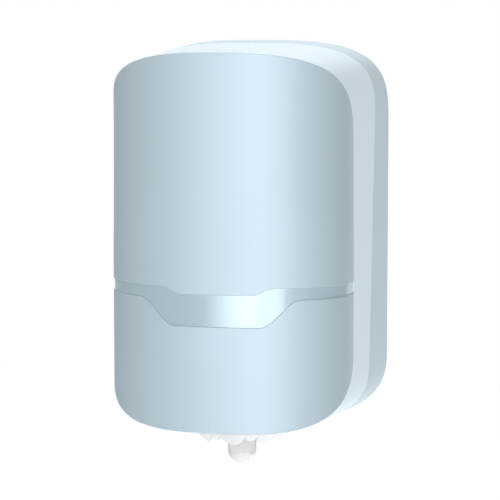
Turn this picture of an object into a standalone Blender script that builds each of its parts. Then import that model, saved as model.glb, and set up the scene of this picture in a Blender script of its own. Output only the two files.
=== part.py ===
"""Wall dispenser for a centrefeed paper roll, built piece by piece at its real size.

X runs to the right, +Y runs back to the wall and +Z runs up. The origin is the middle of the
flat back of the housing, which lies on the wall. All lengths are in metres.
"""

import math
from typing import NamedTuple

import bmesh
import bpy
from mathutils import Matrix, Vector

# Casing: a bowed front outline, a wider rear outline on the wall, and straight lines between
BODY_DEPTH = 0.222
FRONT_HALF_WIDTH = 0.120
FRONT_BOW = 0.0808
FRONT_TOP = 0.1949
FRONT_TOP_SIDE = 0.1127
FRONT_BOTTOM = -0.1702
FRONT_BOTTOM_SIDE = -0.1065
REAR_HALF_WIDTH = 0.1325
REAR_TOP = 0.2030
REAR_TOP_SIDE = 0.1043
REAR_BOTTOM = -0.2030
REAR_BOTTOM_SIDE = -0.1164
BOW_POWER = 2.31
FRONT_TOP_POWERS = (2.77, 4.35)
FRONT_BOTTOM_POWERS = (3.65, 3.31)
REAR_TOP_POWERS = (3.11, 4.13)
REAR_BOTTOM_POWERS = (1.68, 3.04)

# Split between the cover and the housing: a plane that leans towards the wall as it rises
SPLIT_FROM_WALL = 0.0671
SPLIT_LEAN_SHARE = 0.0715

# Walls, clearances and the overrun of every cut
WALL = 0.0025
BACK_WALL = 0.0030
LIP_LENGTH = 0.0050
LIP_WALL = 0.0014
LIP_END = -0.0900
FIT = 0.0003
OVERRUN = 0.0040

# Front skins and the window between them
PANEL_WALL = 0.0022
WINDOW_RECESS = 0.0011
WINDOW_SIDE_TOP = -0.0292
WINDOW_MIDDLE_TOP = -0.0359
WINDOW_SIDE_BOTTOM = -0.0403
WINDOW_MIDDLE_BOTTOM = -0.0667
WINDOW_TOP_RAMP = (0.0360, 0.0540)
WINDOW_BOTTOM_RAMP = (0.0420, 0.0800)
WINDOW_BORDER = 0.0035
WINDOW_END = 0.1000
PEG_RADIUS = 0.0025
PEG_BEHIND = 0.0015
PEG_X = 0.0600
UPPER_PEG_HEIGHTS = (0.1500, 0.0100)
LOWER_PEG_HEIGHTS = (-0.0950, -0.1450)

# Paper roll, the room left round it, and what it stands on
ROLL_FRONT_ROOM = 0.0155
ROLL_SIDE_ROOM = 0.0200
ROLL_BACK_ROOM = 0.0035
ROLL_PLAY = 0.0015
PLATFORM_RISE = 0.0522
PLATFORM_WALL = 0.0040
PLATFORM_RIM_WALL = 0.0022
PLATFORM_RIM_HEIGHT = 0.0080
PLATFORM_FLANGE_WALL = 0.0030
PLATFORM_FLANGE_HEIGHT = 0.0340
PLATFORM_FLANGE_HALF = 0.0620
GUSSET_X = (0.0330, 0.0560)
GUSSET_WALL = 0.0020
GUSSET_REACH = 0.0360
PLATFORM_SCREW_X = (0.0150, 0.0450)

# Bosses on the back plate, their screws and the wall-screw holes
BOSS_RADIUS = 0.0050
BOSS_HEIGHT = 0.0060
BOSS_HOLE_RADIUS = 0.0022
SCREW_RADIUS = 0.0018
SCREW_LENGTH = 0.0080
SCREW_HEAD_RADIUS = 0.0040
SCREW_HEAD_HEIGHT = 0.0024
SCREW_DRIVE_RADIUS = 0.0014
WALL_HOLE_X = 0.0550
KEYHOLE_HEIGHT = 0.1250
KEYHOLE_RADIUS = 0.0050
KEYHOLE_NECK_RADIUS = 0.0026
KEYHOLE_RISE = 0.0100
LOWER_HOLE_HEIGHT = -0.0600
LOWER_HOLE_RADIUS = 0.0026

# Ribs that keep the roll upright
GUIDE_RIB_SHARES = (0.74, 0.92)
GUIDE_RIB_WALL = 0.0022
GUIDE_RIB_TOP = 0.0850
CROSS_RIB_DEPTH = 0.0040
CROSS_RIB_HEIGHTS = (-0.0850, 0.0000, 0.0850)

# Funnel
FUNNEL_FLANGE_RADIUS = 0.0600
FUNNEL_FLANGE_WALL = 0.0020
FUNNEL_MOUTH_RADIUS = 0.0520
FUNNEL_WALL = 0.0020
NECK_RADIUS = 0.0195
NECK_LENGTH = 0.0060
FUNNEL_HEIGHT = 0.0610
FUNNEL_BOSS_RADIUS = 0.0040
FUNNEL_BOSS_CIRCLE = 0.0340

# Petal skirt around the outlet
PETAL_PAIRS = 8
LARGE_PETAL_SHARE = 2 / 3
SKIRT_RADIUS = 0.0540
SKIRT_WALL = 0.0016
SKIRT_SLEEVE = 0.0045
SKIRT_DEPTH = 0.0080
CUSP_DROP = 0.0045
SMALL_PETAL_DROP = 0.0098
LARGE_PETAL_DROP = 0.0142
HUB_WALL = 0.0032
HUB_FLOOR = 0.0027
SKIRT_OPENING_RADIUS = 0.0578

# Nozzle
NOZZLE_RADIUS = 0.0145
NOZZLE_WALL = 0.0020
NOZZLE_FLANGE_RADIUS = 0.0184
NOZZLE_FLANGE_WALL = 0.0034
NOZZLE_LENGTH = 0.0423
NOZZLE_DOME = 0.0112
NOZZLE_RIBS = 40
NOZZLE_RIB_HEIGHT = 0.0006
EXIT_RADIUS = 0.0060
RUNNING_PLAY = 0.0004

# Hinge at the bottom of the split
HINGE_RISE = 0.0067
HINGE_BARREL_RADIUS = 0.0035
HINGE_PIN_RADIUS = 0.0016
HINGE_PIN_HEAD_RADIUS = 0.0026
HINGE_PIN_HEAD = 0.0012
HINGE_INNER = 0.0590
HINGE_LUG = 0.0036
HINGE_KNUCKLE = 0.0084
HINGE_ARM = 0.0200
HINGE_FOOT = 0.0120
HINGE_POCKET_DEPTH = 0.0095
HINGE_POCKET_END = 0.0900

# Latch at the top of the split, pushed down with a two-pronged key
KEY_SLOT_X = 0.00415
KEY_SLOT_WIDTH = 0.0020
KEY_SLOT_LENGTH = 0.0060
LATCH_ROOM = 0.0144
LATCH_TRAVEL = 0.0060
BOLT_HALF_WIDTH = 0.0127
BOLT_DEPTH = 0.0110
BOLT_HEIGHT = 0.0132
NOSE_HALF_WIDTH = 0.0085
NOSE_HEIGHT = 0.0052
NOSE_BEVEL = 0.0015
BOLT_BORE_DEPTH = 0.0080
GUIDE_WALL = 0.0025
GUIDE_FLOOR = 0.0070
GUIDE_HEIGHT = 0.0360
LATCH_FLANGE_HALF = 0.0270
LATCH_FLANGE_SCREW_X = 0.0210
KEEPER_GAP = 0.0010
TONGUE_HALF_WIDTH = 0.0125
TONGUE_WALL = 0.0026
TONGUE_FRONT = 0.0160
TONGUE_BACK = 0.0090
SPRING_RADIUS = 0.0034
SPRING_WIRE_RADIUS = 0.0005
SPRING_TURNS = 6

# Fineness of round forms
COLUMNS = 20
LARGE_STEPS = 48
OPENING_STEPS = 25
SMALL_STEPS = 16
SCREW_STEPS = 10
DOME_STEPS = 4
PETAL_STEPS = 4
SPRING_STEPS = 10


class Outline(NamedTuple):
    """One end of the casing: straight sides that run into power-curve corners."""

    half_width: float
    top: float
    top_side: float
    bottom: float
    bottom_side: float
    top_powers: tuple
    bottom_powers: tuple

    def height(self, share, upper, inset):
        """Height of the edge at a share of the half width, drawn in by the inset."""
        side = self.top_side if upper else self.bottom_side
        end = self.top - inset if upper else self.bottom + inset
        across, rise = self.top_powers if upper else self.bottom_powers
        return side + (end - side) * max(0.0, 1 - abs(share) ** across) ** (1 / rise)


FRONT = Outline(
    FRONT_HALF_WIDTH, FRONT_TOP, FRONT_TOP_SIDE, FRONT_BOTTOM, FRONT_BOTTOM_SIDE,
    FRONT_TOP_POWERS, FRONT_BOTTOM_POWERS,
)
REAR = Outline(
    REAR_HALF_WIDTH, REAR_TOP, REAR_TOP_SIDE, REAR_BOTTOM, REAR_BOTTOM_SIDE,
    REAR_TOP_POWERS, REAR_BOTTOM_POWERS,
)


def clear_scene():
    """Empties the scene."""
    for obj in list(bpy.data.objects):
        bpy.data.objects.remove(obj, do_unlink=True)


def material(name, color, roughness, metallic=0.0, alpha=1.0):
    """A Principled material."""
    made = bpy.data.materials.new(name)
    made.use_nodes = True
    shader = made.node_tree.nodes["Principled BSDF"]
    shader.inputs["Base Color"].default_value = (*color, 1.0)
    shader.inputs["Roughness"].default_value = roughness
    shader.inputs["Metallic"].default_value = metallic
    shader.inputs["Alpha"].default_value = alpha
    return made


def add(name, bm, finish=None, smooth=True):
    """Turns a bmesh into an object; one with no finish is a hidden cutter or helper."""
    bmesh.ops.recalc_face_normals(bm, faces=bm.faces)
    mesh = bpy.data.meshes.new(name)
    bm.to_mesh(mesh)
    bm.free()
    if smooth:
        mesh.shade_smooth()
        mesh.set_sharp_from_angle(angle=math.radians(35))
    obj = bpy.data.objects.new(name, mesh)
    bpy.context.scene.collection.objects.link(obj)
    if finish:
        mesh.materials.append(finish)
    else:
        obj.hide_render = True
        obj.display_type = "WIRE"
    return obj


def combine(target, bm, operation):
    """Joins a bmesh to an object, or cuts it away, with both in triangles so that none is bent."""
    helper = add(f"{target.name}_{operation.lower()}_{len(target.modifiers)}", bm, smooth=False)
    target.modifiers.new(f"{helper.name}_triangles", "TRIANGULATE")
    modifier = target.modifiers.new(helper.name, "BOOLEAN")
    modifier.operation = operation
    modifier.object = helper


def cut(target, bm):
    """Cuts a bmesh away from an object."""
    combine(target, bm, "DIFFERENCE")


def join(target, bm):
    """Joins a bmesh to an object."""
    combine(target, bm, "UNION")


def block(bm, low, high):
    """A box between two corners."""
    low, high = Vector(low), Vector(high)
    place = Matrix.Translation((low + high) / 2) @ Matrix.Diagonal((*(high - low), 1.0))
    bmesh.ops.create_cube(bm, size=1.0, matrix=place)


def rod(bm, radius, start, end, steps=SMALL_STEPS):
    """A round bar between two points, with flats and not corners towards its main directions."""
    start, end = Vector(start), Vector(end)
    turn = (end - start).to_track_quat("Z", "Y").to_matrix().to_4x4()
    turn = turn @ Matrix.Rotation(math.pi / steps, 4, "Z")
    place = Matrix.Translation((start + end) / 2) @ turn
    bmesh.ops.create_cone(
        bm, cap_ends=True, segments=steps, radius1=radius, radius2=radius,
        depth=(end - start).length, matrix=place,
    )


def prism(bm, points, along):
    """A flat outline, given as points, pushed along a vector."""
    face = bm.faces.new([bm.verts.new(point) for point in points])
    pushed = bmesh.ops.extrude_face_region(bm, geom=[face], use_keep_orig=True)
    moved = [item for item in pushed["geom"] if isinstance(item, bmesh.types.BMVert)]
    bmesh.ops.translate(bm, vec=along, verts=moved)


def turned_solid(bm, profile, place, steps):
    """A profile that starts and ends on its axis, turned and placed."""
    corners = [bm.verts.new((radius, 0.0, height)) for radius, height in profile]
    edges = [bm.edges.new(pair) for pair in zip(corners, corners[1:])]
    bmesh.ops.spin(
        bm, geom=corners + edges, cent=(0.0, 0.0, 0.0), axis=(0.0, 0.0, 1.0),
        dvec=(0.0, 0.0, 0.0), angle=2 * math.pi, steps=steps, use_merge=True,
    )
    bmesh.ops.remove_doubles(bm, verts=bm.verts, dist=FIT / 100)
    bmesh.ops.transform(bm, matrix=place, verts=bm.verts)


def smooth_step(value, low, high):
    """Goes from 0 to 1 between two limits, level at both."""
    share = min(1.0, max(0.0, (value - low) / (high - low)))
    return share * share * (3 - 2 * share)


def width_shares():
    """Shares of the half width from side to side, at even turns of the bowed front."""
    shares = []
    for i in range(-COLUMNS, COLUMNS + 1):
        turn = math.pi / 2 * i / COLUMNS
        shares.append(math.copysign(abs(math.sin(turn)) ** (2 / BOW_POWER), turn))
    return shares


def bow_point(share, setback):
    """Plan point of the bowed front at a share of its half width, set back square to the face."""
    rise = max(0.0, 1 - abs(share) ** BOW_POWER) ** (1 / BOW_POWER)
    across = -math.copysign(abs(share) ** (BOW_POWER - 1) / FRONT_HALF_WIDTH, share)
    back = rise ** (BOW_POWER - 1) / FRONT_BOW
    step = setback / math.hypot(across, back)
    x = FRONT_HALF_WIDTH * share + across * step
    y = FRONT_BOW * (1 - rise) - BODY_DEPTH + back * step
    return x, y


def front_point(share, upper, setback, inset=0.0):
    """Edge point of the bowed front."""
    x, y = bow_point(share, setback)
    return Vector((x, y, FRONT.height(share, upper, inset)))


def wall_ends(share, upper, inset):
    """Front and rear ends of the straight line of the casing at a share of its half width."""
    y = bow_point(share, 0.0)[1]
    front = Vector(((FRONT.half_width - inset) * share, y, FRONT.height(share, upper, inset)))
    rear = Vector(((REAR.half_width - inset) * share, 0.0, REAR.height(share, upper, inset)))
    return front, rear


def wall_at_depth(share, upper, inset, y):
    """Point of the casing wall at a distance from the wall of the room."""
    front, rear = wall_ends(share, upper, inset)
    return front.lerp(rear, (y - front.y) / (rear.y - front.y))


def wall_at_split(share, upper, inset, step=0.0):
    """Point of the casing wall where the split plane, moved by a step, crosses it."""
    front, rear = wall_ends(share, upper, inset)
    run = rear - front
    plane = step - SPLIT_FROM_WALL
    along = plane + SPLIT_LEAN_SHARE * front.z - front.y
    return front + run * (along / (run.y - SPLIT_LEAN_SHARE * run.z))


# The roll fills the casing's depth or its width, whichever is less
ROLL_DEPTH = BODY_DEPTH - PANEL_WALL - FIT - WALL - ROLL_FRONT_ROOM - ROLL_BACK_ROOM - BACK_WALL
ROLL_WIDTH = 2 * (FRONT_HALF_WIDTH - WALL - ROLL_SIDE_ROOM)
ROLL_RADIUS = min(ROLL_DEPTH, ROLL_WIDTH) / 2
OUTLET_FROM_WALL = BACK_WALL + ROLL_BACK_ROOM + ROLL_RADIUS

# Places that follow from the sizes and from the casing's form
OUTLET_Y = -OUTLET_FROM_WALL
PLATFORM_TOP = FRONT_BOTTOM + PLATFORM_RISE
PLATFORM_RADIUS = ROLL_RADIUS + ROLL_PLAY + PLATFORM_RIM_WALL
BOSS_FACE = -BACK_WALL - BOSS_HEIGHT
FLANGE_BACK = BOSS_FACE - FIT
PLATFORM_FLANGE_FRONT = FLANGE_BACK - PLATFORM_FLANGE_WALL
PLATFORM_BOTTOM = PLATFORM_TOP - PLATFORM_WALL
NECK_BOTTOM = PLATFORM_TOP - FUNNEL_HEIGHT
SKIRT_TOP = NECK_BOTTOM + SKIRT_SLEEVE
SKIRT_BEND = SKIRT_TOP - SKIRT_DEPTH
NOZZLE_BOTTOM = NECK_BOTTOM - NOZZLE_LENGTH
HINGE_SHARE = (HINGE_INNER + HINGE_LUG + HINGE_KNUCKLE / 2) / REAR_HALF_WIDTH
HINGE_HEIGHT = wall_at_split(HINGE_SHARE, False, 0.0).z + HINGE_RISE
HINGE_Y = SPLIT_LEAN_SHARE * HINGE_HEIGHT - SPLIT_FROM_WALL
LATCH_Y = SPLIT_LEAN_SHARE * REAR_TOP - SPLIT_FROM_WALL - KEY_SLOT_LENGTH / 2
LATCH_TOP = wall_at_split(0.0, True, 0.0).z - LATCH_ROOM
GUIDE_TOP = LATCH_TOP - NOSE_HEIGHT + FIT + GUIDE_WALL
GUIDE_BOTTOM = GUIDE_TOP - GUIDE_HEIGHT
GUIDE_HALF_WIDTH = BOLT_HALF_WIDTH + FIT + GUIDE_WALL
GUIDE_FRONT = LATCH_Y - BOLT_DEPTH / 2 - FIT
GUIDE_REAR = LATCH_Y + BOLT_DEPTH / 2 + FIT
SPRING_SEAT = GUIDE_BOTTOM + GUIDE_FLOOR
BOLT_BOTTOM = LATCH_TOP - NOSE_HEIGHT - BOLT_HEIGHT
SPRING_TOP = BOLT_BOTTOM + BOLT_BORE_DEPTH


def ring(point_at):
    """A closed loop of points: the upper edge from left to right, then the lower edge back."""
    shares = width_shares()
    upper = [point_at(share, True) for share in shares]
    lower = [point_at(share, False) for share in reversed(shares)]
    return upper + lower


def skin(bm, rings):
    """Joins loops of points with faces, one after the other."""
    loops = [[bm.verts.new(point) for point in points] for points in rings]
    for first, second in zip(loops, loops[1:]):
        for i in range(len(first)):
            bm.faces.new((first[i - 1], first[i], second[i], second[i - 1]))
    return loops


def close_with_strips(bm, loop):
    """Fills a loop with upright strips between its upper and lower edges."""
    count = len(loop) // 2
    lower = loop[:count - 1:-1]
    for i in range(count - 1):
        bm.faces.new((loop[i], loop[i + 1], lower[i + 1], lower[i]))


def shell(rings):
    """A hollow form whose first and last loops are filled."""
    bm = bmesh.new()
    loops = skin(bm, rings)
    close_with_strips(bm, loops[0])
    close_with_strips(bm, loops[-1])
    return bm


def band_top(x):
    """Height of the window's upper edge."""
    ramp = smooth_step(abs(x), *WINDOW_TOP_RAMP)
    return WINDOW_MIDDLE_TOP + (WINDOW_SIDE_TOP - WINDOW_MIDDLE_TOP) * ramp


def band_bottom(x):
    """Height of the window's lower edge."""
    ramp = smooth_step(abs(x), *WINDOW_BOTTOM_RAMP)
    return WINDOW_MIDDLE_BOTTOM + (WINDOW_SIDE_BOTTOM - WINDOW_MIDDLE_BOTTOM) * ramp


def bowed_strip(shares, outer, inner, low_at, high_at):
    """A strip of the bowed front between two setbacks and two edges."""
    bm = bmesh.new()
    sections = []
    for share in shares:
        (x, y), (inner_x, inner_y) = bow_point(share, outer), bow_point(share, inner)
        low, high = low_at(share), high_at(share)
        corners = ((x, y, low), (x, y, high), (inner_x, inner_y, high), (inner_x, inner_y, low))
        sections.append([bm.verts.new(corner) for corner in corners])
    for first, second in zip(sections, sections[1:]):
        for i in range(len(first)):
            bm.faces.new((first[i - 1], first[i], second[i], second[i - 1]))
    bm.faces.new(sections[0])
    bm.faces.new(sections[-1])
    return bm


def pegs(bm, heights, radius, behind):
    """Round pegs behind the front skins, from inside the skin to behind the cover's wall."""
    share = PEG_X / FRONT_HALF_WIDTH
    start = bow_point(share, PANEL_WALL / 2)[1]
    end = bow_point(share, PANEL_WALL + FIT + WALL)[1] + behind
    for side in (-1, 1):
        for height in heights:
            rod(bm, radius, (side * PEG_X, start, height), (side * PEG_X, end, height))


def front_skin(name, finish, low_at, high_at, peg_heights):
    """One of the two coloured skins, with the pegs that hold it."""
    skin_object = add(name, bowed_strip(width_shares(), 0.0, PANEL_WALL, low_at, high_at), finish)
    bm = bmesh.new()
    pegs(bm, peg_heights, PEG_RADIUS, PEG_BEHIND)
    join(skin_object, bm)


def upper_front_panel(finish):
    """The large skin above the window."""
    front_skin(
        "upper_front_panel", finish, lambda share: band_top(share * FRONT_HALF_WIDTH) + FIT / 2,
        lambda share: FRONT.height(share, True, 0.0), UPPER_PEG_HEIGHTS,
    )


def lower_front_panel(finish):
    """The small skin below the window."""
    front_skin(
        "lower_front_panel", finish, lambda share: FRONT.height(share, False, 0.0),
        lambda share: band_bottom(share * FRONT_HALF_WIDTH) - FIT / 2, LOWER_PEG_HEIGHTS,
    )


def window_band(finish):
    """The clear level window, set back between the skins."""
    bm = bowed_strip(
        width_shares(), WINDOW_RECESS, PANEL_WALL,
        lambda share: band_bottom(share * FRONT_HALF_WIDTH) + FIT / 2,
        lambda share: band_top(share * FRONT_HALF_WIDTH) - FIT / 2,
    )
    add("window_band", bm, finish)


def cover_form():
    """The white cover before its openings: bowed front wall, side walls and open back."""
    front = PANEL_WALL + FIT
    inside = front + WALL
    outer = ring(lambda share, upper: front_point(share, upper, front))
    inner = ring(lambda share, upper: front_point(share, upper, inside, WALL))

    def step_back(share, upper, setback, inset):
        y = bow_point(share, setback)[1] + FIT
        return wall_at_depth(share, upper, inset, y)

    return shell([
        outer,
        ring(lambda share, upper: step_back(share, upper, front, 0.0)),
        ring(lambda share, upper: wall_at_split(share, upper, 0.0, -FIT / 2)),
        ring(lambda share, upper: wall_at_split(share, upper, WALL, -FIT / 2)),
        ring(lambda share, upper: step_back(share, upper, inside, WALL)),
        inner,
    ])


def window_opening():
    """The opening in the cover's front wall behind the window band."""
    shares = [share * WINDOW_END / FRONT_HALF_WIDTH for share in width_shares()]
    return bowed_strip(
        shares, PANEL_WALL, PANEL_WALL + FIT + WALL + OVERRUN,
        lambda share: band_bottom(share * FRONT_HALF_WIDTH) + WINDOW_BORDER,
        lambda share: band_top(share * FRONT_HALF_WIDTH) - WINDOW_BORDER,
    )


def skirt_opening(bm, to_rear):
    """The round opening for the skirt; where a distance is given, its sides run straight back."""
    points = []
    for i in range(OPENING_STEPS + 1):
        turn = math.pi * i / OPENING_STEPS
        x, y = SKIRT_OPENING_RADIUS * math.cos(turn), SKIRT_OPENING_RADIUS * math.sin(turn)
        points.append((-x, OUTLET_Y - y, REAR_BOTTOM - OVERRUN))
    if to_rear:
        points.append((SKIRT_OPENING_RADIUS, OUTLET_Y + to_rear, REAR_BOTTOM - OVERRUN))
        points.append((-SKIRT_OPENING_RADIUS, OUTLET_Y + to_rear, REAR_BOTTOM - OVERRUN))
    else:
        for i in range(1, OPENING_STEPS):
            turn = math.pi * i / OPENING_STEPS
            x, y = SKIRT_OPENING_RADIUS * math.cos(turn), SKIRT_OPENING_RADIUS * math.sin(turn)
            points.append((x, OUTLET_Y + y, REAR_BOTTOM - OVERRUN))
    prism(bm, points, (0.0, 0.0, FRONT_BOTTOM - REAR_BOTTOM + WALL + 2 * OVERRUN))


def hinge_stations():
    """X ranges of the inner lug, the knuckle and the outer lug on the right side."""
    inner = (HINGE_INNER, HINGE_INNER + HINGE_LUG)
    knuckle = (inner[1] + FIT, inner[1] + FIT + HINGE_KNUCKLE)
    outer = (knuckle[1] + FIT, knuckle[1] + FIT + HINGE_LUG)
    return inner, knuckle, outer


def hinge_leaf(bm, side, station, reach, foot_start, foot_bottom):
    """A barrel round the hinge axis with an arm that runs to its foot on a casing wall."""
    radius = HINGE_BARREL_RADIUS
    forward = math.copysign(1, reach)
    arc = []
    for i in range(SMALL_STEPS // 2 + 1):
        turn = math.pi * i / (SMALL_STEPS // 2)
        arc.append((-forward * math.sin(turn), -math.cos(turn)))
    profile = [(HINGE_Y + radius * y, HINGE_HEIGHT + radius * z) for y, z in arc]
    profile += [
        (HINGE_Y + reach, HINGE_HEIGHT + radius),
        (HINGE_Y + reach, foot_bottom),
        (HINGE_Y + foot_start, foot_bottom),
        (HINGE_Y + foot_start, HINGE_HEIGHT - radius),
    ]
    start = side * station[0]
    width = side * (station[1] - station[0])
    prism(bm, [(start, y, z) for y, z in profile], (width, 0.0, 0.0))


def hinge_bores(bm, side):
    """The bore through lugs and knuckle of one hinge."""
    inner, _, outer = hinge_stations()
    start = (side * (inner[0] - OVERRUN), HINGE_Y, HINGE_HEIGHT)
    end = (side * (outer[1] + OVERRUN), HINGE_Y, HINGE_HEIGHT)
    rod(bm, HINGE_PIN_RADIUS + FIT, start, end)


def bottom_wall_height(x, y):
    """Height of the casing's lower surface at a place on its bottom."""
    share = min(1.0, abs(x) / REAR_HALF_WIDTH)
    for _ in range(LARGE_STEPS):
        point = wall_at_depth(share, False, 0.0, y)
        share = min(1.0, share * abs(x) / point.x)
    return wall_at_depth(share, False, 0.0, y).z


def latch_tongue(bm):
    """The keeper inside the top of the cover, with the hole that takes the bolt's nose."""
    bottom = LATCH_TOP + KEEPER_GAP
    top = bottom + TONGUE_WALL
    front = LATCH_Y - BOLT_DEPTH / 2 - TONGUE_FRONT
    rear = LATCH_Y + TONGUE_BACK
    root = wall_at_split(0.0, True, WALL / 2).z
    root_back = LATCH_Y - KEY_SLOT_LENGTH / 2 - LIP_LENGTH
    profile = [(front, bottom), (rear, bottom), (rear, top), (root_back, top), (root_back, root)]
    profile.append((front, root))
    points = [(-TONGUE_HALF_WIDTH, y, z) for y, z in profile]
    prism(bm, points, (2 * TONGUE_HALF_WIDTH, 0.0, 0.0))


def nose_hole(bm):
    """The hole in the keeper."""
    half = NOSE_HALF_WIDTH + FIT
    depth = BOLT_DEPTH / 2 - NOSE_BEVEL / 2
    low = (-half, LATCH_Y - depth, LATCH_TOP - OVERRUN)
    high = (half, LATCH_Y + depth, LATCH_TOP + KEEPER_GAP + TONGUE_WALL + FIT)
    block(bm, low, high)


def cover_shell(finish):
    """The white cover with its window opening, keeper and hinge knuckles."""
    cover = add("cover_shell", cover_form(), finish)
    bm = window_opening()
    pegs(bm, UPPER_PEG_HEIGHTS + LOWER_PEG_HEIGHTS, PEG_RADIUS + FIT, OVERRUN)
    cut(cover, bm)
    bm = bmesh.new()
    skirt_opening(bm, OUTLET_FROM_WALL)
    cut(cover, bm)
    bm = bmesh.new()
    inner, knuckle, outer = hinge_stations()
    for side in (-1, 1):
        near = (side * inner[0] - side * HINGE_LUG, HINGE_Y - HINGE_BARREL_RADIUS - WALL)
        far = (side * (outer[1] + FIT * 2), HINGE_Y + OVERRUN)
        low = (min(near[0], far[0]), near[1], REAR_BOTTOM)
        block(bm, low, (max(near[0], far[0]), far[1], HINGE_HEIGHT + HINGE_BARREL_RADIUS))
    cut(cover, bm)
    bm = bmesh.new()
    for side in (-1, 1):
        middle = (knuckle[0] + knuckle[1]) / 2
        foot = bottom_wall_height(middle, HINGE_Y - HINGE_ARM / 2) + WALL / 2
        hinge_leaf(bm, side, knuckle, -HINGE_ARM, -HINGE_ARM + HINGE_FOOT, foot)
    join(cover, bm)
    bm = bmesh.new()
    for side in (-1, 1):
        hinge_bores(bm, side)
    cut(cover, bm)
    bm = bmesh.new()
    latch_tongue(bm)
    join(cover, bm)
    bm = bmesh.new()
    nose_hole(bm)
    key_slots(bm)
    cut(cover, bm)


def housing_form():
    """The tray on the wall: flat back, sloped sides and the lip that enters the cover."""
    lip = WALL + 2 * FIT
    inside = lip + LIP_WALL
    return shell([
        ring(lambda share, upper: wall_at_depth(share, upper, 0.0, 0.0)),
        ring(lambda share, upper: wall_at_split(share, upper, 0.0, FIT / 2)),
        ring(lambda share, upper: wall_at_split(share, upper, lip, FIT / 2)),
        ring(lambda share, upper: wall_at_split(share, upper, lip, -LIP_LENGTH)),
        ring(lambda share, upper: wall_at_split(share, upper, inside, -LIP_LENGTH)),
        ring(lambda share, upper: wall_at_depth(share, upper, WALL, -BACK_WALL)),
    ])


def lip_cut(bm):
    """Takes the lip away below its end, where the cover swings past it."""
    low = REAR_BOTTOM - OVERRUN
    profile = []
    for height in (low, LIP_END):
        profile.append((SPLIT_LEAN_SHARE * height - SPLIT_FROM_WALL + FIT, height))
    for height in (LIP_END, low):
        profile.append((SPLIT_LEAN_SHARE * height - SPLIT_FROM_WALL - 2 * LIP_LENGTH, height))
    half = REAR_HALF_WIDTH + OVERRUN
    prism(bm, [(-half, y, z) for y, z in profile], (2 * half, 0.0, 0.0))


def boss_places():
    """X and Z of every screw boss on the back plate."""
    places = []
    for x in PLATFORM_SCREW_X:
        height = PLATFORM_TOP - PLATFORM_FLANGE_HEIGHT / 2
        places += [(-x, height), (x, height)]
    height = (GUIDE_TOP + GUIDE_BOTTOM) / 2
    return places + [(-LATCH_FLANGE_SCREW_X, height), (LATCH_FLANGE_SCREW_X, height)]


def housing_bosses(bm):
    """Solid bosses on the back plate."""
    for x, z in boss_places():
        rod(bm, BOSS_RADIUS, (x, -BACK_WALL / 2, z), (x, BOSS_FACE, z))


def housing_holes(bm):
    """Screw holes in the bosses, keyholes above and plain holes below for the wall screws."""
    for x, z in boss_places():
        rod(bm, BOSS_HOLE_RADIUS, (x, -BACK_WALL, z), (x, BOSS_FACE - OVERRUN, z))
    for side in (-1, 1):
        x = side * WALL_HOLE_X
        outline = []
        for i in range(SMALL_STEPS + 1):
            turn = math.pi * i / SMALL_STEPS
            offset = (KEYHOLE_NECK_RADIUS * math.cos(turn), KEYHOLE_NECK_RADIUS * math.sin(turn))
            outline.append((x + offset[0], KEYHOLE_HEIGHT + KEYHOLE_RISE + offset[1]))
        join_turn = math.asin(KEYHOLE_NECK_RADIUS / KEYHOLE_RADIUS)
        sweep = 2 * math.pi - 2 * join_turn
        for i in range(SMALL_STEPS + 1):
            turn = math.pi / 2 + join_turn + sweep * i / SMALL_STEPS
            outline.append((
                x + KEYHOLE_RADIUS * math.cos(turn), KEYHOLE_HEIGHT + KEYHOLE_RADIUS * math.sin(turn)
            ))
        points = [(px, OVERRUN, pz) for px, pz in outline]
        prism(bm, points, (0.0, -BACK_WALL - 2 * OVERRUN, 0.0))
        low = (x, OVERRUN, LOWER_HOLE_HEIGHT)
        rod(bm, LOWER_HOLE_RADIUS, low, (x, -BACK_WALL - OVERRUN, LOWER_HOLE_HEIGHT))


def housing_ribs(bm):
    """Tall ribs that follow the roll on both sides."""
    circle = ROLL_RADIUS + 2 * ROLL_PLAY
    bottom = PLATFORM_TOP + 2 * PLATFORM_RIM_HEIGHT
    for side in (-1, 1):
        for x_share in GUIDE_RIB_SHARES:
            x = x_share * ROLL_RADIUS
            front = OUTLET_Y + math.sqrt(circle * circle - x * x)
            back = -BACK_WALL / 2
            taper = GUIDE_RIB_TOP + (back - front) / 2
            profile = ((back, bottom), (front, bottom), (front, GUIDE_RIB_TOP), (back, taper))
            start = side * x - GUIDE_RIB_WALL / 2
            prism(bm, [(start, y, z) for y, z in profile], (GUIDE_RIB_WALL, 0.0, 0.0))


def housing_cross_ribs(bm):
    """Low ribs that stiffen the back plate between the roll guides."""
    half = GUIDE_RIB_SHARES[0] * ROLL_RADIUS - GUIDE_RIB_WALL
    for height in CROSS_RIB_HEIGHTS:
        low = (-half, -BACK_WALL - CROSS_RIB_DEPTH, height - GUIDE_RIB_WALL / 2)
        block(bm, low, (half, -BACK_WALL / 2, height + GUIDE_RIB_WALL / 2))


def key_slots(bm):
    """The two slots that the key's prongs enter, in the cover's rear edge and the lip under it."""
    for side in (-1, 1):
        x = side * KEY_SLOT_X
        start = SPLIT_LEAN_SHARE * REAR_TOP - SPLIT_FROM_WALL
        low = (x - KEY_SLOT_WIDTH / 2, start - KEY_SLOT_LENGTH, LATCH_TOP + TONGUE_WALL + OVERRUN)
        high = (x + KEY_SLOT_WIDTH / 2, start + FIT, REAR_TOP + OVERRUN)
        block(bm, low, high)


def hinge_pockets(bm):
    """Clears the housing's bottom edge, so that the cover's edge can swing back into it."""
    for side in (-1, 1):
        near, far = side * (HINGE_INNER - 2 * HINGE_LUG), side * HINGE_POCKET_END
        low = (min(near, far), HINGE_Y - OVERRUN, REAR_BOTTOM - OVERRUN)
        high = (max(near, far), HINGE_Y + HINGE_POCKET_DEPTH, HINGE_HEIGHT + HINGE_BARREL_RADIUS)
        block(bm, low, high)


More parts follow.
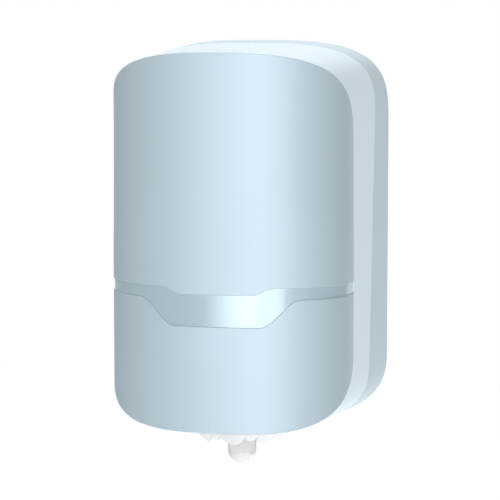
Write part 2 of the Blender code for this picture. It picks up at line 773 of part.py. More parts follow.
def back_housing(finish):
    """The housing on the wall, with ribs, bosses, hinge lugs and every hole."""
    housing = add("back_housing", housing_form(), finish)
    bm = bmesh.new()
    lip_cut(bm)
    cut(housing, bm)
    bm = bmesh.new()
    skirt_opening(bm, 0.0)
    cut(housing, bm)
    bm = bmesh.new()
    hinge_pockets(bm)
    cut(housing, bm)
    bm = bmesh.new()
    housing_bosses(bm)
    housing_ribs(bm)
    housing_cross_ribs(bm)
    join(housing, bm)
    bm = bmesh.new()
    inner, _, outer = hinge_stations()
    start = HINGE_POCKET_DEPTH + FIT
    reach = start + HINGE_FOOT
    for side in (-1, 1):
        for station in (inner, outer):
            foot = bottom_wall_height(station[1], HINGE_Y + reach) + WALL / 2
            hinge_leaf(bm, side, station, reach, start, foot)
    join(housing, bm)
    bm = bmesh.new()
    for side in (-1, 1):
        hinge_bores(bm, side)
    housing_holes(bm)
    key_slots(bm)
    cut(housing, bm)


def hinge_pins(finish):
    """Two headed pins, pushed in from the middle."""
    inner, _, outer = hinge_stations()
    for side, name in ((-1, "hinge_pin_left"), (1, "hinge_pin_right")):
        bm = bmesh.new()
        head = inner[0] - FIT - HINGE_PIN_HEAD
        profile = (
            (0.0, head), (HINGE_PIN_HEAD_RADIUS, head),
            (HINGE_PIN_HEAD_RADIUS, head + HINGE_PIN_HEAD),
            (HINGE_PIN_RADIUS, head + HINGE_PIN_HEAD), (HINGE_PIN_RADIUS, outer[1]), (0.0, outer[1]),
        )
        turn = Matrix.Rotation(side * math.pi / 2, 4, "Y")
        place = Matrix.Translation((0.0, HINGE_Y, HINGE_HEIGHT)) @ turn
        turned_solid(bm, profile, place, SMALL_STEPS)
        add(name, bm, finish)


def screw(name, head_seat, direction, finish):
    """A pan-head screw: the underside of its head stands a fit away from the seat."""
    toward = Vector(direction)
    recess = SCREW_HEAD_HEIGHT / 2
    profile = (
        (0.0, -SCREW_HEAD_HEIGHT + recess), (SCREW_DRIVE_RADIUS, -SCREW_HEAD_HEIGHT + recess),
        (SCREW_DRIVE_RADIUS, -SCREW_HEAD_HEIGHT), (SCREW_HEAD_RADIUS - recess, -SCREW_HEAD_HEIGHT),
        (SCREW_HEAD_RADIUS, -SCREW_HEAD_HEIGHT + recess), (SCREW_HEAD_RADIUS, 0.0),
        (SCREW_RADIUS, 0.0), (SCREW_RADIUS, SCREW_LENGTH - SCREW_RADIUS), (0.0, SCREW_LENGTH),
    )
    turn = toward.to_track_quat("Z", "Y").to_matrix().to_4x4()
    place = Matrix.Translation(Vector(head_seat) - toward * FIT) @ turn
    bm = bmesh.new()
    turned_solid(bm, profile, place, SCREW_STEPS)
    add(name, bm, finish)


def platform_plan(bm, radius, back, low, high):
    """A disc about the outlet, cut off flat at the back, between two heights."""
    limit = math.acos(max(-1.0, (OUTLET_Y - back) / radius))
    points = []
    for i in range(LARGE_STEPS + 1):
        turn = limit * (2 * i / LARGE_STEPS - 1)
        points.append((radius * math.sin(turn), OUTLET_Y - radius * math.cos(turn), low))
    prism(bm, points, (0.0, 0.0, high - low))


def roll_platform(finish):
    """The tray that the roll stands on, with its flange on the back plate."""
    bm = bmesh.new()
    rim_top = PLATFORM_TOP + PLATFORM_RIM_HEIGHT
    platform_plan(bm, PLATFORM_RADIUS, PLATFORM_FLANGE_FRONT + FIT, PLATFORM_BOTTOM, rim_top)
    platform = add("roll_platform", bm, finish)
    bm = bmesh.new()
    inner = PLATFORM_RADIUS - PLATFORM_RIM_WALL
    platform_plan(bm, inner, PLATFORM_FLANGE_FRONT + OVERRUN, PLATFORM_TOP, rim_top + OVERRUN)
    cut(platform, bm)
    bm = bmesh.new()
    half = PLATFORM_FLANGE_HALF
    low = (-half, PLATFORM_FLANGE_FRONT, PLATFORM_TOP - PLATFORM_FLANGE_HEIGHT)
    block(bm, low, (half, FLANGE_BACK, PLATFORM_TOP))
    join(platform, bm)
    bm = bmesh.new()
    root = PLATFORM_FLANGE_FRONT + PLATFORM_FLANGE_WALL / 2
    tip = PLATFORM_FLANGE_FRONT - GUSSET_REACH
    top = PLATFORM_BOTTOM + PLATFORM_WALL / 2
    bottom = PLATFORM_TOP - PLATFORM_FLANGE_HEIGHT + GUSSET_WALL
    for side in (-1, 1):
        for x in GUSSET_X:
            start = side * x - GUSSET_WALL / 2
            profile = ((root, top), (tip, top), (tip, PLATFORM_BOTTOM - GUSSET_WALL), (root, bottom))
            prism(bm, [(start, y, z) for y, z in profile], (GUSSET_WALL, 0.0, 0.0))
    join(platform, bm)
    bm = bmesh.new()
    seat = FUNNEL_FLANGE_RADIUS + FIT
    hole = FUNNEL_MOUTH_RADIUS + FUNNEL_WALL
    seat_floor = PLATFORM_TOP - FUNNEL_FLANGE_WALL - FIT
    turned_solid(bm, (
        (0.0, PLATFORM_TOP + OVERRUN), (seat, PLATFORM_TOP + OVERRUN), (seat, seat_floor),
        (hole, seat_floor), (hole, PLATFORM_BOTTOM - OVERRUN), (0.0, PLATFORM_BOTTOM - OVERRUN),
    ), Matrix.Translation((0.0, OUTLET_Y, 0.0)), LARGE_STEPS)
    cut(platform, bm)
    bm = bmesh.new()
    for side in (-1, 1):
        for x in PLATFORM_SCREW_X:
            height = PLATFORM_TOP - PLATFORM_FLANGE_HEIGHT / 2
            start = (side * x, FLANGE_BACK + OVERRUN, height)
            rod(bm, BOSS_HOLE_RADIUS, start, (side * x, PLATFORM_FLANGE_FRONT - OVERRUN, height))
    cut(platform, bm)


def platform_screws(finish):
    """Four screws through the platform's flange."""
    height = PLATFORM_TOP - PLATFORM_FLANGE_HEIGHT / 2
    places = [-PLATFORM_SCREW_X[1], -PLATFORM_SCREW_X[0], PLATFORM_SCREW_X[0], PLATFORM_SCREW_X[1]]
    for i, x in enumerate(places, 1):
        screw(f"platform_screw_{i}", (x, PLATFORM_FLANGE_FRONT, height), (0.0, 1.0, 0.0), finish)


def funnel_boss_places():
    """Centres of the four funnel bosses that carry the skirt."""
    places = []
    for i in range(4):
        turn = math.pi / 4 + math.pi / 2 * i
        x = FUNNEL_BOSS_CIRCLE * math.cos(turn)
        places.append((x, OUTLET_Y + FUNNEL_BOSS_CIRCLE * math.sin(turn)))
    return places


def cone_height(radius):
    """Height of the funnel's outer face at a radius."""
    top = PLATFORM_TOP - FUNNEL_FLANGE_WALL
    bottom = NECK_BOTTOM + NECK_LENGTH
    wide = FUNNEL_MOUTH_RADIUS + FUNNEL_WALL - FIT
    return top + (bottom - top) * (wide - radius) / (wide - NECK_RADIUS)


def funnel(finish):
    """The cone that gathers the paper from the roll's core, with bosses for the skirt."""
    below = PLATFORM_TOP - FUNNEL_FLANGE_WALL
    neck = NECK_BOTTOM + NECK_LENGTH
    place = Matrix.Translation((0.0, OUTLET_Y, 0.0))
    bm = bmesh.new()
    turned_solid(bm, (
        (0.0, PLATFORM_TOP), (FUNNEL_FLANGE_RADIUS, PLATFORM_TOP), (FUNNEL_FLANGE_RADIUS, below),
        (FUNNEL_MOUTH_RADIUS + FUNNEL_WALL - FIT, below), (NECK_RADIUS, neck),
        (NECK_RADIUS, NECK_BOTTOM), (0.0, NECK_BOTTOM),
    ), place, LARGE_STEPS)
    cone = add("funnel", bm, finish)
    bm = bmesh.new()
    start = cone_height(FUNNEL_BOSS_CIRCLE + FUNNEL_BOSS_RADIUS) + FUNNEL_WALL
    for x, y in funnel_boss_places():
        rod(bm, FUNNEL_BOSS_RADIUS, (x, y, start), (x, y, SKIRT_TOP + FIT))
    join(cone, bm)
    bm = bmesh.new()
    inner = NECK_RADIUS - FUNNEL_WALL
    turned_solid(bm, (
        (0.0, PLATFORM_TOP + OVERRUN), (FUNNEL_MOUTH_RADIUS, PLATFORM_TOP + OVERRUN),
        (FUNNEL_MOUTH_RADIUS, below), (inner, neck + FUNNEL_WALL / 2),
        (inner, NECK_BOTTOM - OVERRUN), (0.0, NECK_BOTTOM - OVERRUN),
    ), place, LARGE_STEPS)
    cut(cone, bm)
    bm = bmesh.new()
    for x, y in funnel_boss_places():
        hole_top = SKIRT_TOP + SCREW_LENGTH
        rod(bm, BOSS_HOLE_RADIUS, (x, y, SKIRT_TOP - OVERRUN), (x, y, hole_top))
    cut(cone, bm)


def petal_drop(turn):
    """Drop of the skirt's edge below its bend: round petals, large and small in turn."""
    pitch = 2 * math.pi / PETAL_PAIRS
    large = pitch * LARGE_PETAL_SHARE
    place = (turn + large / 2) % pitch
    if place <= large:
        across, tip = 2 * place / large - 1, LARGE_PETAL_DROP
    else:
        across, tip = 2 * (place - large) / (pitch - large) - 1, SMALL_PETAL_DROP
    return CUSP_DROP + (tip - CUSP_DROP) * math.sqrt(max(0.0, 1 - across * across))


def skirt_section(turn):
    """Radius and height pairs round the skirt's wall at one turn, hub included."""
    sleeve = NECK_RADIUS + FIT
    hub = sleeve + HUB_WALL
    step = NECK_BOTTOM - FIT
    shoulder = step - NOZZLE_FLANGE_WALL - RUNNING_PLAY
    floor = shoulder - HUB_FLOOR
    inner = SKIRT_RADIUS - SKIRT_WALL
    drop = petal_drop(turn)
    slant = SKIRT_WALL / math.sqrt(2)
    return (
        (sleeve, SKIRT_TOP + SKIRT_WALL), (hub, SKIRT_TOP + SKIRT_WALL), (hub, SKIRT_TOP),
        (SKIRT_RADIUS, SKIRT_TOP), (SKIRT_RADIUS, SKIRT_BEND),
        (SKIRT_RADIUS - drop, SKIRT_BEND - drop),
        (SKIRT_RADIUS - drop - slant, SKIRT_BEND - drop + slant),
        (inner, SKIRT_BEND + SKIRT_WALL / 2), (inner, SKIRT_TOP - SKIRT_WALL),
        (hub, SKIRT_TOP - SKIRT_WALL), (hub, floor), (NOZZLE_RADIUS + 2 * RUNNING_PLAY, floor),
        (NOZZLE_RADIUS + 2 * RUNNING_PLAY, shoulder),
        (NOZZLE_FLANGE_RADIUS + RUNNING_PLAY, shoulder),
        (NOZZLE_FLANGE_RADIUS + RUNNING_PLAY, step), (sleeve, step),
    )


def swept_section(bm, section_at, turns):
    """Joins closed sections at a list of turns into one ring about the outlet."""
    loops = []
    for turn in turns:
        loop = []
        for radius, height in section_at(turn):
            x, y = radius * math.sin(turn), OUTLET_Y - radius * math.cos(turn)
            loop.append(bm.verts.new((x, y, height)))
        loops.append(loop)
    for j in range(len(loops)):
        first, second = loops[j - 1], loops[j]
        for i in range(len(first)):
            bm.faces.new((first[i - 1], first[i], second[i], second[i - 1]))


def petal_turns():
    """Turns that fall on every cusp and divide large and small petals evenly."""
    pitch = 2 * math.pi / PETAL_PAIRS
    large = pitch * LARGE_PETAL_SHARE
    turns = []
    for pair in range(PETAL_PAIRS):
        start = pair * pitch - large / 2
        turns += [start + large * i / (2 * PETAL_STEPS) for i in range(2 * PETAL_STEPS)]
        rest = start + large
        turns += [rest + (pitch - large) * i / PETAL_STEPS for i in range(PETAL_STEPS)]
    return turns


def petal_skirt(finish):
    """The flower-shaped cup under the casing, which also traps the nozzle in its hub."""
    bm = bmesh.new()
    swept_section(bm, skirt_section, petal_turns())
    skirt = add("petal_skirt", bm, finish)
    bm = bmesh.new()
    for x, y in funnel_boss_places():
        rod(bm, BOSS_HOLE_RADIUS, (x, y, SKIRT_TOP + OVERRUN), (x, y, SKIRT_TOP - OVERRUN))
    cut(skirt, bm)


def skirt_screws(finish):
    """Four screws that hold the skirt under the funnel."""
    for i, (x, y) in enumerate(funnel_boss_places(), 1):
        screw(f"skirt_screw_{i}", (x, y, SKIRT_TOP - SKIRT_WALL), (0.0, 0.0, 1.0), finish)


def nozzle_section(turn):
    """Radius and height pairs round the nozzle's wall, with its outer ribs."""
    rib = NOZZLE_RIB_HEIGHT * (round(turn * NOZZLE_RIBS / math.pi) % 2)
    top = NECK_BOTTOM - FIT - RUNNING_PLAY / 2
    below = top - NOZZLE_FLANGE_WALL
    dome = NOZZLE_BOTTOM + NOZZLE_DOME
    inner = NOZZLE_RADIUS - NOZZLE_RIB_HEIGHT - NOZZLE_WALL
    section = [
        (inner + NOZZLE_WALL / 2, top), (NOZZLE_FLANGE_RADIUS, top), (NOZZLE_FLANGE_RADIUS, below),
        (NOZZLE_RADIUS, below), (NOZZLE_RADIUS, below - HUB_FLOOR - RUNNING_PLAY),
        (NOZZLE_RADIUS - rib, below - HUB_FLOOR - 2 * RUNNING_PLAY), (NOZZLE_RADIUS - rib, dome),
    ]
    outer_end = math.acos(EXIT_RADIUS / NOZZLE_RADIUS)
    for i in range(1, DOME_STEPS + 1):
        angle = outer_end * i / DOME_STEPS
        height = dome - NOZZLE_DOME * math.sin(angle) / math.sin(outer_end)
        section.append((NOZZLE_RADIUS * math.cos(angle), height))
    inner_end = math.acos(EXIT_RADIUS / inner)
    for i in range(DOME_STEPS, 0, -1):
        angle = inner_end * i / DOME_STEPS
        height = dome - (NOZZLE_DOME - NOZZLE_WALL) * math.sin(angle) / math.sin(inner_end)
        section.append((inner * math.cos(angle), height))
    section.append((inner, dome))
    return section


def nozzle(finish):
    """The ribbed, domed nozzle, which turns freely in the skirt's hub."""
    bm = bmesh.new()
    turns = [math.pi * i / NOZZLE_RIBS for i in range(2 * NOZZLE_RIBS)]
    swept_section(bm, nozzle_section, turns)
    add("nozzle", bm, finish)


def latch_bracket(finish):
    """The arm from the back plate that guides the bolt and seats its spring."""
    bm = bmesh.new()
    block(
        bm, (-GUIDE_HALF_WIDTH, GUIDE_FRONT, GUIDE_BOTTOM),
        (GUIDE_HALF_WIDTH, FLANGE_BACK - PLATFORM_FLANGE_WALL / 2, GUIDE_TOP),
    )
    bracket = add("latch_bracket", bm, finish)
    bm = bmesh.new()
    low = (-LATCH_FLANGE_HALF, FLANGE_BACK - PLATFORM_FLANGE_WALL, GUIDE_BOTTOM + GUIDE_WALL)
    block(bm, low, (LATCH_FLANGE_HALF, FLANGE_BACK, GUIDE_TOP - GUIDE_WALL))
    join(bracket, bm)
    bm = bmesh.new()
    half = BOLT_HALF_WIDTH + FIT
    block(bm, (-half, GUIDE_FRONT - OVERRUN, SPRING_SEAT), (half, GUIDE_REAR, GUIDE_TOP - GUIDE_WALL))
    cut(bracket, bm)
    bm = bmesh.new()
    nose = NOSE_HALF_WIDTH + FIT
    low = (-nose, GUIDE_FRONT - 2 * OVERRUN, GUIDE_TOP - 2 * GUIDE_WALL)
    block(bm, low, (nose, GUIDE_REAR - FIT, GUIDE_TOP + OVERRUN))
    cut(bracket, bm)
    bm = bmesh.new()
    rear_start = GUIDE_REAR + GUIDE_WALL
    rear_end = FLANGE_BACK - PLATFORM_FLANGE_WALL
    block(bm, (-half, rear_start, GUIDE_BOTTOM - OVERRUN), (half, rear_end, GUIDE_TOP - GUIDE_WALL))
    cut(bracket, bm)
    bm = bmesh.new()
    height = (GUIDE_TOP + GUIDE_BOTTOM) / 2
    for side in (-1, 1):
        x = side * LATCH_FLANGE_SCREW_X
        start = (x, FLANGE_BACK + OVERRUN, height)
        rod(bm, BOSS_HOLE_RADIUS, start, (x, FLANGE_BACK - PLATFORM_FLANGE_WALL - OVERRUN, height))
        x, z = cap_screw_place(side)
        start = (x, GUIDE_FRONT - OVERRUN, z)
        rod(bm, BOSS_HOLE_RADIUS, start, (x, GUIDE_FRONT + SCREW_LENGTH, z))
    cut(bracket, bm)


def cap_screw_place(side):
    """X and Z of a screw in the floor of the bolt guide."""
    return side * NOSE_HALF_WIDTH, GUIDE_BOTTOM + GUIDE_FLOOR / 2


def latch_cap(finish):
    """The plate that closes the front of the bolt guide."""
    bm = bmesh.new()
    back = GUIDE_FRONT - FIT
    low = (-GUIDE_HALF_WIDTH, back - GUIDE_WALL, GUIDE_BOTTOM)
    block(bm, low, (GUIDE_HALF_WIDTH, back, GUIDE_TOP - GUIDE_WALL))
    cap = add("latch_cap", bm, finish)
    bm = bmesh.new()
    for side in (-1, 1):
        x, z = cap_screw_place(side)
        rod(bm, BOSS_HOLE_RADIUS, (x, back + OVERRUN, z), (x, back - GUIDE_WALL - OVERRUN, z))
    cut(cap, bm)


def latch_screws(finish):
    """Two screws in the bracket's flange and two in the cap."""
    height = (GUIDE_TOP + GUIDE_BOTTOM) / 2
    flange_front = FLANGE_BACK - PLATFORM_FLANGE_WALL
    cap_front = GUIDE_FRONT - FIT - GUIDE_WALL
    for side, word in ((-1, "left"), (1, "right")):
        seat = (side * LATCH_FLANGE_SCREW_X, flange_front, height)
        screw(f"bracket_screw_{word}", seat, (0.0, 1.0, 0.0), finish)
        x, z = cap_screw_place(side)
        screw(f"latch_cap_screw_{word}", (x, cap_front, z), (0.0, 1.0, 0.0), finish)


def latch_bolt(finish):
    """The sprung bolt, with a bevelled nose under the key slots."""
    bm = bmesh.new()
    shoulder = LATCH_TOP - NOSE_HEIGHT
    depth = BOLT_DEPTH / 2
    low = (-BOLT_HALF_WIDTH, LATCH_Y - depth, BOLT_BOTTOM)
    block(bm, low, (BOLT_HALF_WIDTH, LATCH_Y + depth, shoulder))
    bolt = add("latch_bolt", bm, finish)
    bm = bmesh.new()
    front, rear = LATCH_Y - depth + NOSE_BEVEL, LATCH_Y + depth - NOSE_BEVEL
    profile = (
        (front, shoulder - NOSE_BEVEL), (rear, shoulder - NOSE_BEVEL), (rear, LATCH_TOP),
        (front + NOSE_HEIGHT / 2, LATCH_TOP), (front, LATCH_TOP - NOSE_HEIGHT / 2),
    )
    points = [(-NOSE_HALF_WIDTH, y, z) for y, z in profile]
    prism(bm, points, (2 * NOSE_HALF_WIDTH, 0.0, 0.0))
    join(bolt, bm)
    bm = bmesh.new()
    bore = SPRING_RADIUS + 2 * SPRING_WIRE_RADIUS
    rod(bm, bore, (0.0, LATCH_Y, BOLT_BOTTOM - OVERRUN), (0.0, LATCH_Y, SPRING_TOP))
    cut(bolt, bm)


def latch_spring(finish):
    """The compression spring under the bolt, one unbroken wire."""
    low = SPRING_SEAT + FIT + SPRING_WIRE_RADIUS
    high = SPRING_TOP - FIT - SPRING_WIRE_RADIUS
    curve = bpy.data.curves.new("latch_spring", "CURVE")
    curve.dimensions = "3D"
    curve.bevel_depth = SPRING_WIRE_RADIUS
    curve.bevel_resolution = 1
    curve.use_fill_caps = True
    spline = curve.splines.new("POLY")
    count = SPRING_TURNS * SPRING_STEPS
    spline.points.add(count)
    for i in range(count + 1):
        turn = 2 * math.pi * i / SPRING_STEPS
        x, y = SPRING_RADIUS * math.cos(turn), LATCH_Y + SPRING_RADIUS * math.sin(turn)
        spline.points[i].co = (x, y, low + (high - low) * i / count, 1.0)
    curve.materials.append(finish)
    spring = bpy.data.objects.new("latch_spring", curve)
    bpy.context.scene.collection.objects.link(spring)


def main():
    """Builds every piece, from the wall forward."""
    clear_scene()
    white = material("white_plastic", (0.84, 0.87, 0.89), 0.35)
    grey = material("grey_plastic", (0.50, 0.56, 0.61), 0.40)
    blue = material("blue_plastic", (0.50, 0.66, 0.74), 0.28)
    clear = material("clear_plastic", (0.62, 0.76, 0.82), 0.12, alpha=0.6)
    inner = material("inner_plastic", (0.80, 0.82, 0.83), 0.45)
    steel = material("steel", (0.60, 0.60, 0.60), 0.30, metallic=1.0)
    back_housing(grey)
    roll_platform(inner)
    platform_screws(steel)
    funnel(inner)
    petal_skirt(white)
    skirt_screws(steel)
    nozzle(white)
    hinge_pins(steel)
    cover_shell(white)
    upper_front_panel(blue)
    window_band(clear)
    lower_front_panel(blue)
    latch_bracket(inner)
    latch_cap(inner)
    latch_screws(steel)
    latch_bolt(white)
    latch_spring(steel)


main()
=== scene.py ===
"""Looks of the wall dispenser for a centrefeed paper roll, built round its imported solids.

Every size is in metres, in the row frame: +X right, +Y back to the wall, +Z up, with the origin
in the middle of the housing's flat back.
"""

import logging
from collections.abc import Callable, Sequence
from dataclasses import dataclass, field
from enum import Enum
from functools import partial
from math import acos, asin, copysign, cos, hypot, pi, radians, sin, sqrt, tan
from typing import Any

import bmesh
import bpy
from mathutils import Matrix, Vector

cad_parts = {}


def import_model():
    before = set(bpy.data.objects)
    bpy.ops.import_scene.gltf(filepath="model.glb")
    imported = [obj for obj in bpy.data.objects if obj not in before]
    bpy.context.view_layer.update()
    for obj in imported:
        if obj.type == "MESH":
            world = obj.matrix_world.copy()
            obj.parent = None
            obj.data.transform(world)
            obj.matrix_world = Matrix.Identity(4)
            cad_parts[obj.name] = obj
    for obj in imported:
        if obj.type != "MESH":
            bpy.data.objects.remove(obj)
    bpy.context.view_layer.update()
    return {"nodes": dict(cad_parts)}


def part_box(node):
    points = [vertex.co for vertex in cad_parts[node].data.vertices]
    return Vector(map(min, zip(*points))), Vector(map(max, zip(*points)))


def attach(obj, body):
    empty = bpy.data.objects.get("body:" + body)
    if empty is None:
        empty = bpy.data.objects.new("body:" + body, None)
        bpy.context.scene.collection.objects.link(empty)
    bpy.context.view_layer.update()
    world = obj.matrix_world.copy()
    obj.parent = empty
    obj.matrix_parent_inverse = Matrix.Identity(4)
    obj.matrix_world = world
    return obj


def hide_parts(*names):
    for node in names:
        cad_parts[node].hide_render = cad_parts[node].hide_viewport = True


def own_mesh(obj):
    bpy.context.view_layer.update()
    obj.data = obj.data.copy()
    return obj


LOG = logging.getLogger("dispenser")
SIDES = ((-1, "left"), (1, "right"))
MERGE_DISTANCE = 1e-6
FLAT_ANGLE = radians(0.5)
PINHOLE_SIDES = 4
SMALL_EDGE = 0.0003
PLATE_EDGE = 0.0004
FINE_SEGMENTS = 3
RIM_ANGLE = 50.0
UP = Vector((0.0, 0.0, 1.0))
TOWARDS_WALL = Matrix.Rotation(-pi / 2, 4, "X")
FROM_WALL = Matrix.Rotation(pi / 2, 4, "X")
WHITE = (1.0, 1.0, 1.0, 1.0)

Material = bpy.types.Material
Profile = Sequence[tuple[float, float]]
Point = tuple[float, float, float]
HeightAt = Callable[[float], float]


class Slot(Enum):
    """Material slots of the record."""

    HOUSING = "grey_housing"
    WHITE = "white_plastic"
    BLUE = "blue_panel"
    WINDOW = "clear_window"
    INNER = "inner_plastic"
    LATCH = "latch_plastic"
    STEEL = "steel"


class Body(Enum):
    """Moving bodies of the record."""

    HOUSING = "housing"
    COVER = "cover"
    BOLT = "bolt"
    NOZZLE = "nozzle"


class Operation(Enum):
    """What one shape does to another."""

    CUT = "DIFFERENCE"
    JOIN = "UNION"


def add_object(name: str, data: bpy.types.ID) -> bpy.types.Object:
    """Makes an object of a mesh, a lamp or a camera, and links it to the scene.

    Args:
        name: the object's name.
        data: what it shows.

    Returns:
        The object.
    """
    obj = bpy.data.objects.new(name, data)
    bpy.context.scene.collection.objects.link(obj)
    return obj


def both_sides(places: Sequence[float]) -> list[float]:
    """Adds their mirror images to places across."""
    return [*places, *(-x for x in places)]


@dataclass(frozen=True)
class Outline:
    """One end of the casing: straight sides that run into power-curve corners."""

    half_width: float
    top: float
    top_side: float
    bottom: float
    bottom_side: float
    top_powers: tuple[float, float]
    bottom_powers: tuple[float, float]

    def height(self, share: float, upper: bool, inset: float = 0.0) -> float:
        """Finds the height of the edge.

        Args:
            share: place across, as a share of the half width.
            upper: whether the upper edge is meant.
            inset: distance by which the end is drawn in.

        Returns:
            The height.
        """
        side = self.top_side if upper else self.bottom_side
        end = self.top - inset if upper else self.bottom + inset
        across, rise = self.top_powers if upper else self.bottom_powers
        return side + (end - side) * max(0.0, 1 - abs(share) ** across) ** (1 / rise)


@dataclass(frozen=True)
class Casing:
    """The casing's form: a bowed front outline, a rear outline and straight lines between."""

    depth: float = 0.222
    bow: float = 0.0808
    bow_power: float = 2.31
    split_from_wall: float = 0.0671
    split_lean: float = 0.0715
    wall: float = 0.0025
    fit: float = 0.0003
    axis_y: float = -0.1040
    columns: int = 72
    taper: float = 0.015
    taper_height: float = 0.12
    front: Outline = Outline(0.120, 0.1949, 0.1127, -0.1702, -0.1065, (2.77, 4.35), (3.65, 3.31))
    rear: Outline = Outline(0.1325, 0.2030, 0.1043, -0.2030, -0.1164, (3.11, 4.13), (1.68, 3.04))

    def share_at(self, turn: float) -> float:
        """Turns an even step from side to side, -1 to 1, into a share of the half width."""
        return copysign(abs(sin(turn * pi / 2)) ** (2 / self.bow_power), turn)

    def split_y(self, z: float) -> float:
        """Finds the depth of the split at a height."""
        return self.split_lean * z - self.split_from_wall

    def bow_point(self, share: float, setback: float = 0.0) -> tuple[float, float]:
        """Finds a plan point of the bowed front.

        Args:
            share: place across, as a share of the half width.
            setback: distance behind the face, square to it.

        Returns:
            X and Y of the point.
        """
        half = self.front.half_width
        rise = max(0.0, 1 - abs(share) ** self.bow_power) ** (1 / self.bow_power)
        across = -copysign(abs(share) ** (self.bow_power - 1) / half, share)
        back = rise ** (self.bow_power - 1) / self.bow
        step = setback / hypot(across, back)
        y = self.bow * (1 - rise) - self.depth + back * step
        return half * share + across * step, y

    def front_point(self, share: float, upper: bool, setback: float, inset: float = 0.0) -> Vector:
        """Finds an edge point of the bowed front, set back and drawn in."""
        x, y = self.bow_point(share, setback)
        return Vector((x, y, self.front.height(share, upper, inset)))

    def wall_ends(self, share: float, upper: bool, inset: float) -> tuple[Vector, Vector]:
        """Finds the ends of one of the straight lines that the side wall is made of.

        Args:
            share: place across, as a share of the half width.
            upper: whether the line is on the upper half.
            inset: distance inside the casing's face.

        Returns:
            The front end and the rear end.
        """
        y = self.bow_point(share)[1]
        front_x = (self.front.half_width - inset) * share
        rear_x = (self.rear.half_width - inset) * share
        front = Vector((front_x, y, self.front.height(share, upper, inset)))
        return front, Vector((rear_x, 0.0, self.rear.height(share, upper, inset)))

    def wall_at_depth(self, share: float, upper: bool, inset: float, y: float) -> Vector:
        """Finds the point of the side wall at a depth."""
        front, rear = self.wall_ends(share, upper, inset)
        return front.lerp(rear, (y - front.y) / (rear.y - front.y))

    def wall_at_split(self, share: float, upper: bool, inset: float, step: float = 0.0) -> Vector:
        """Finds where the side wall meets the split plane.

        Args:
            share: place across, as a share of the half width.
            upper: whether the point is on the upper half.
            inset: distance inside the casing's face.
            step: distance behind the split.

        Returns:
            The point.
        """
        front, rear = self.wall_ends(share, upper, inset)
        run = rear - front
        along = step - self.split_from_wall + self.split_lean * front.z - front.y
        return front + run * (along / (run.y - self.split_lean * run.z))

    def ring(self, point_at: Callable[..., Vector], *sizes: float) -> list[Vector]:
        """Walks round the casing: the upper edge from left to right, then the lower edge back.

        Args:
            point_at: gives the point for a share, an upper or lower edge, and the sizes.
            sizes: what point_at is given for every point.

        Returns:
            The ring of points.
        """
        shares = [self.share_at(i / self.columns) for i in range(-self.columns, self.columns + 1)]
        upper = [point_at(share, True, *sizes) for share in shares]
        return upper + [point_at(share, False, *sizes) for share in reversed(shares)]

    def round_axis(self, circle: float) -> list[tuple[float, float]]:
        """Gives X and Y of the skirt's four screws, on a circle about the roll's axis."""
        turns = [pi / 4 + pi / 2 * i for i in range(4)]
        return [(circle * cos(a), self.axis_y + circle * sin(a)) for a in turns]

    def draw_in(self, mesh: bpy.types.Mesh) -> None:
        """Narrows the front of a cover piece a little towards its top, and leaves the split.

        Args:
            mesh: the piece's mesh.
        """
        for vert in mesh.vertices:
            split = self.split_y(vert.co.z)
            forward = min(1.0, max(0.0, (split - vert.co.y) / (split + self.depth)))
            rise = min(1.0, max(0.0, vert.co.z / self.taper_height))
            vert.co.x *= 1 - self.taper * forward * rise * (2 - rise)


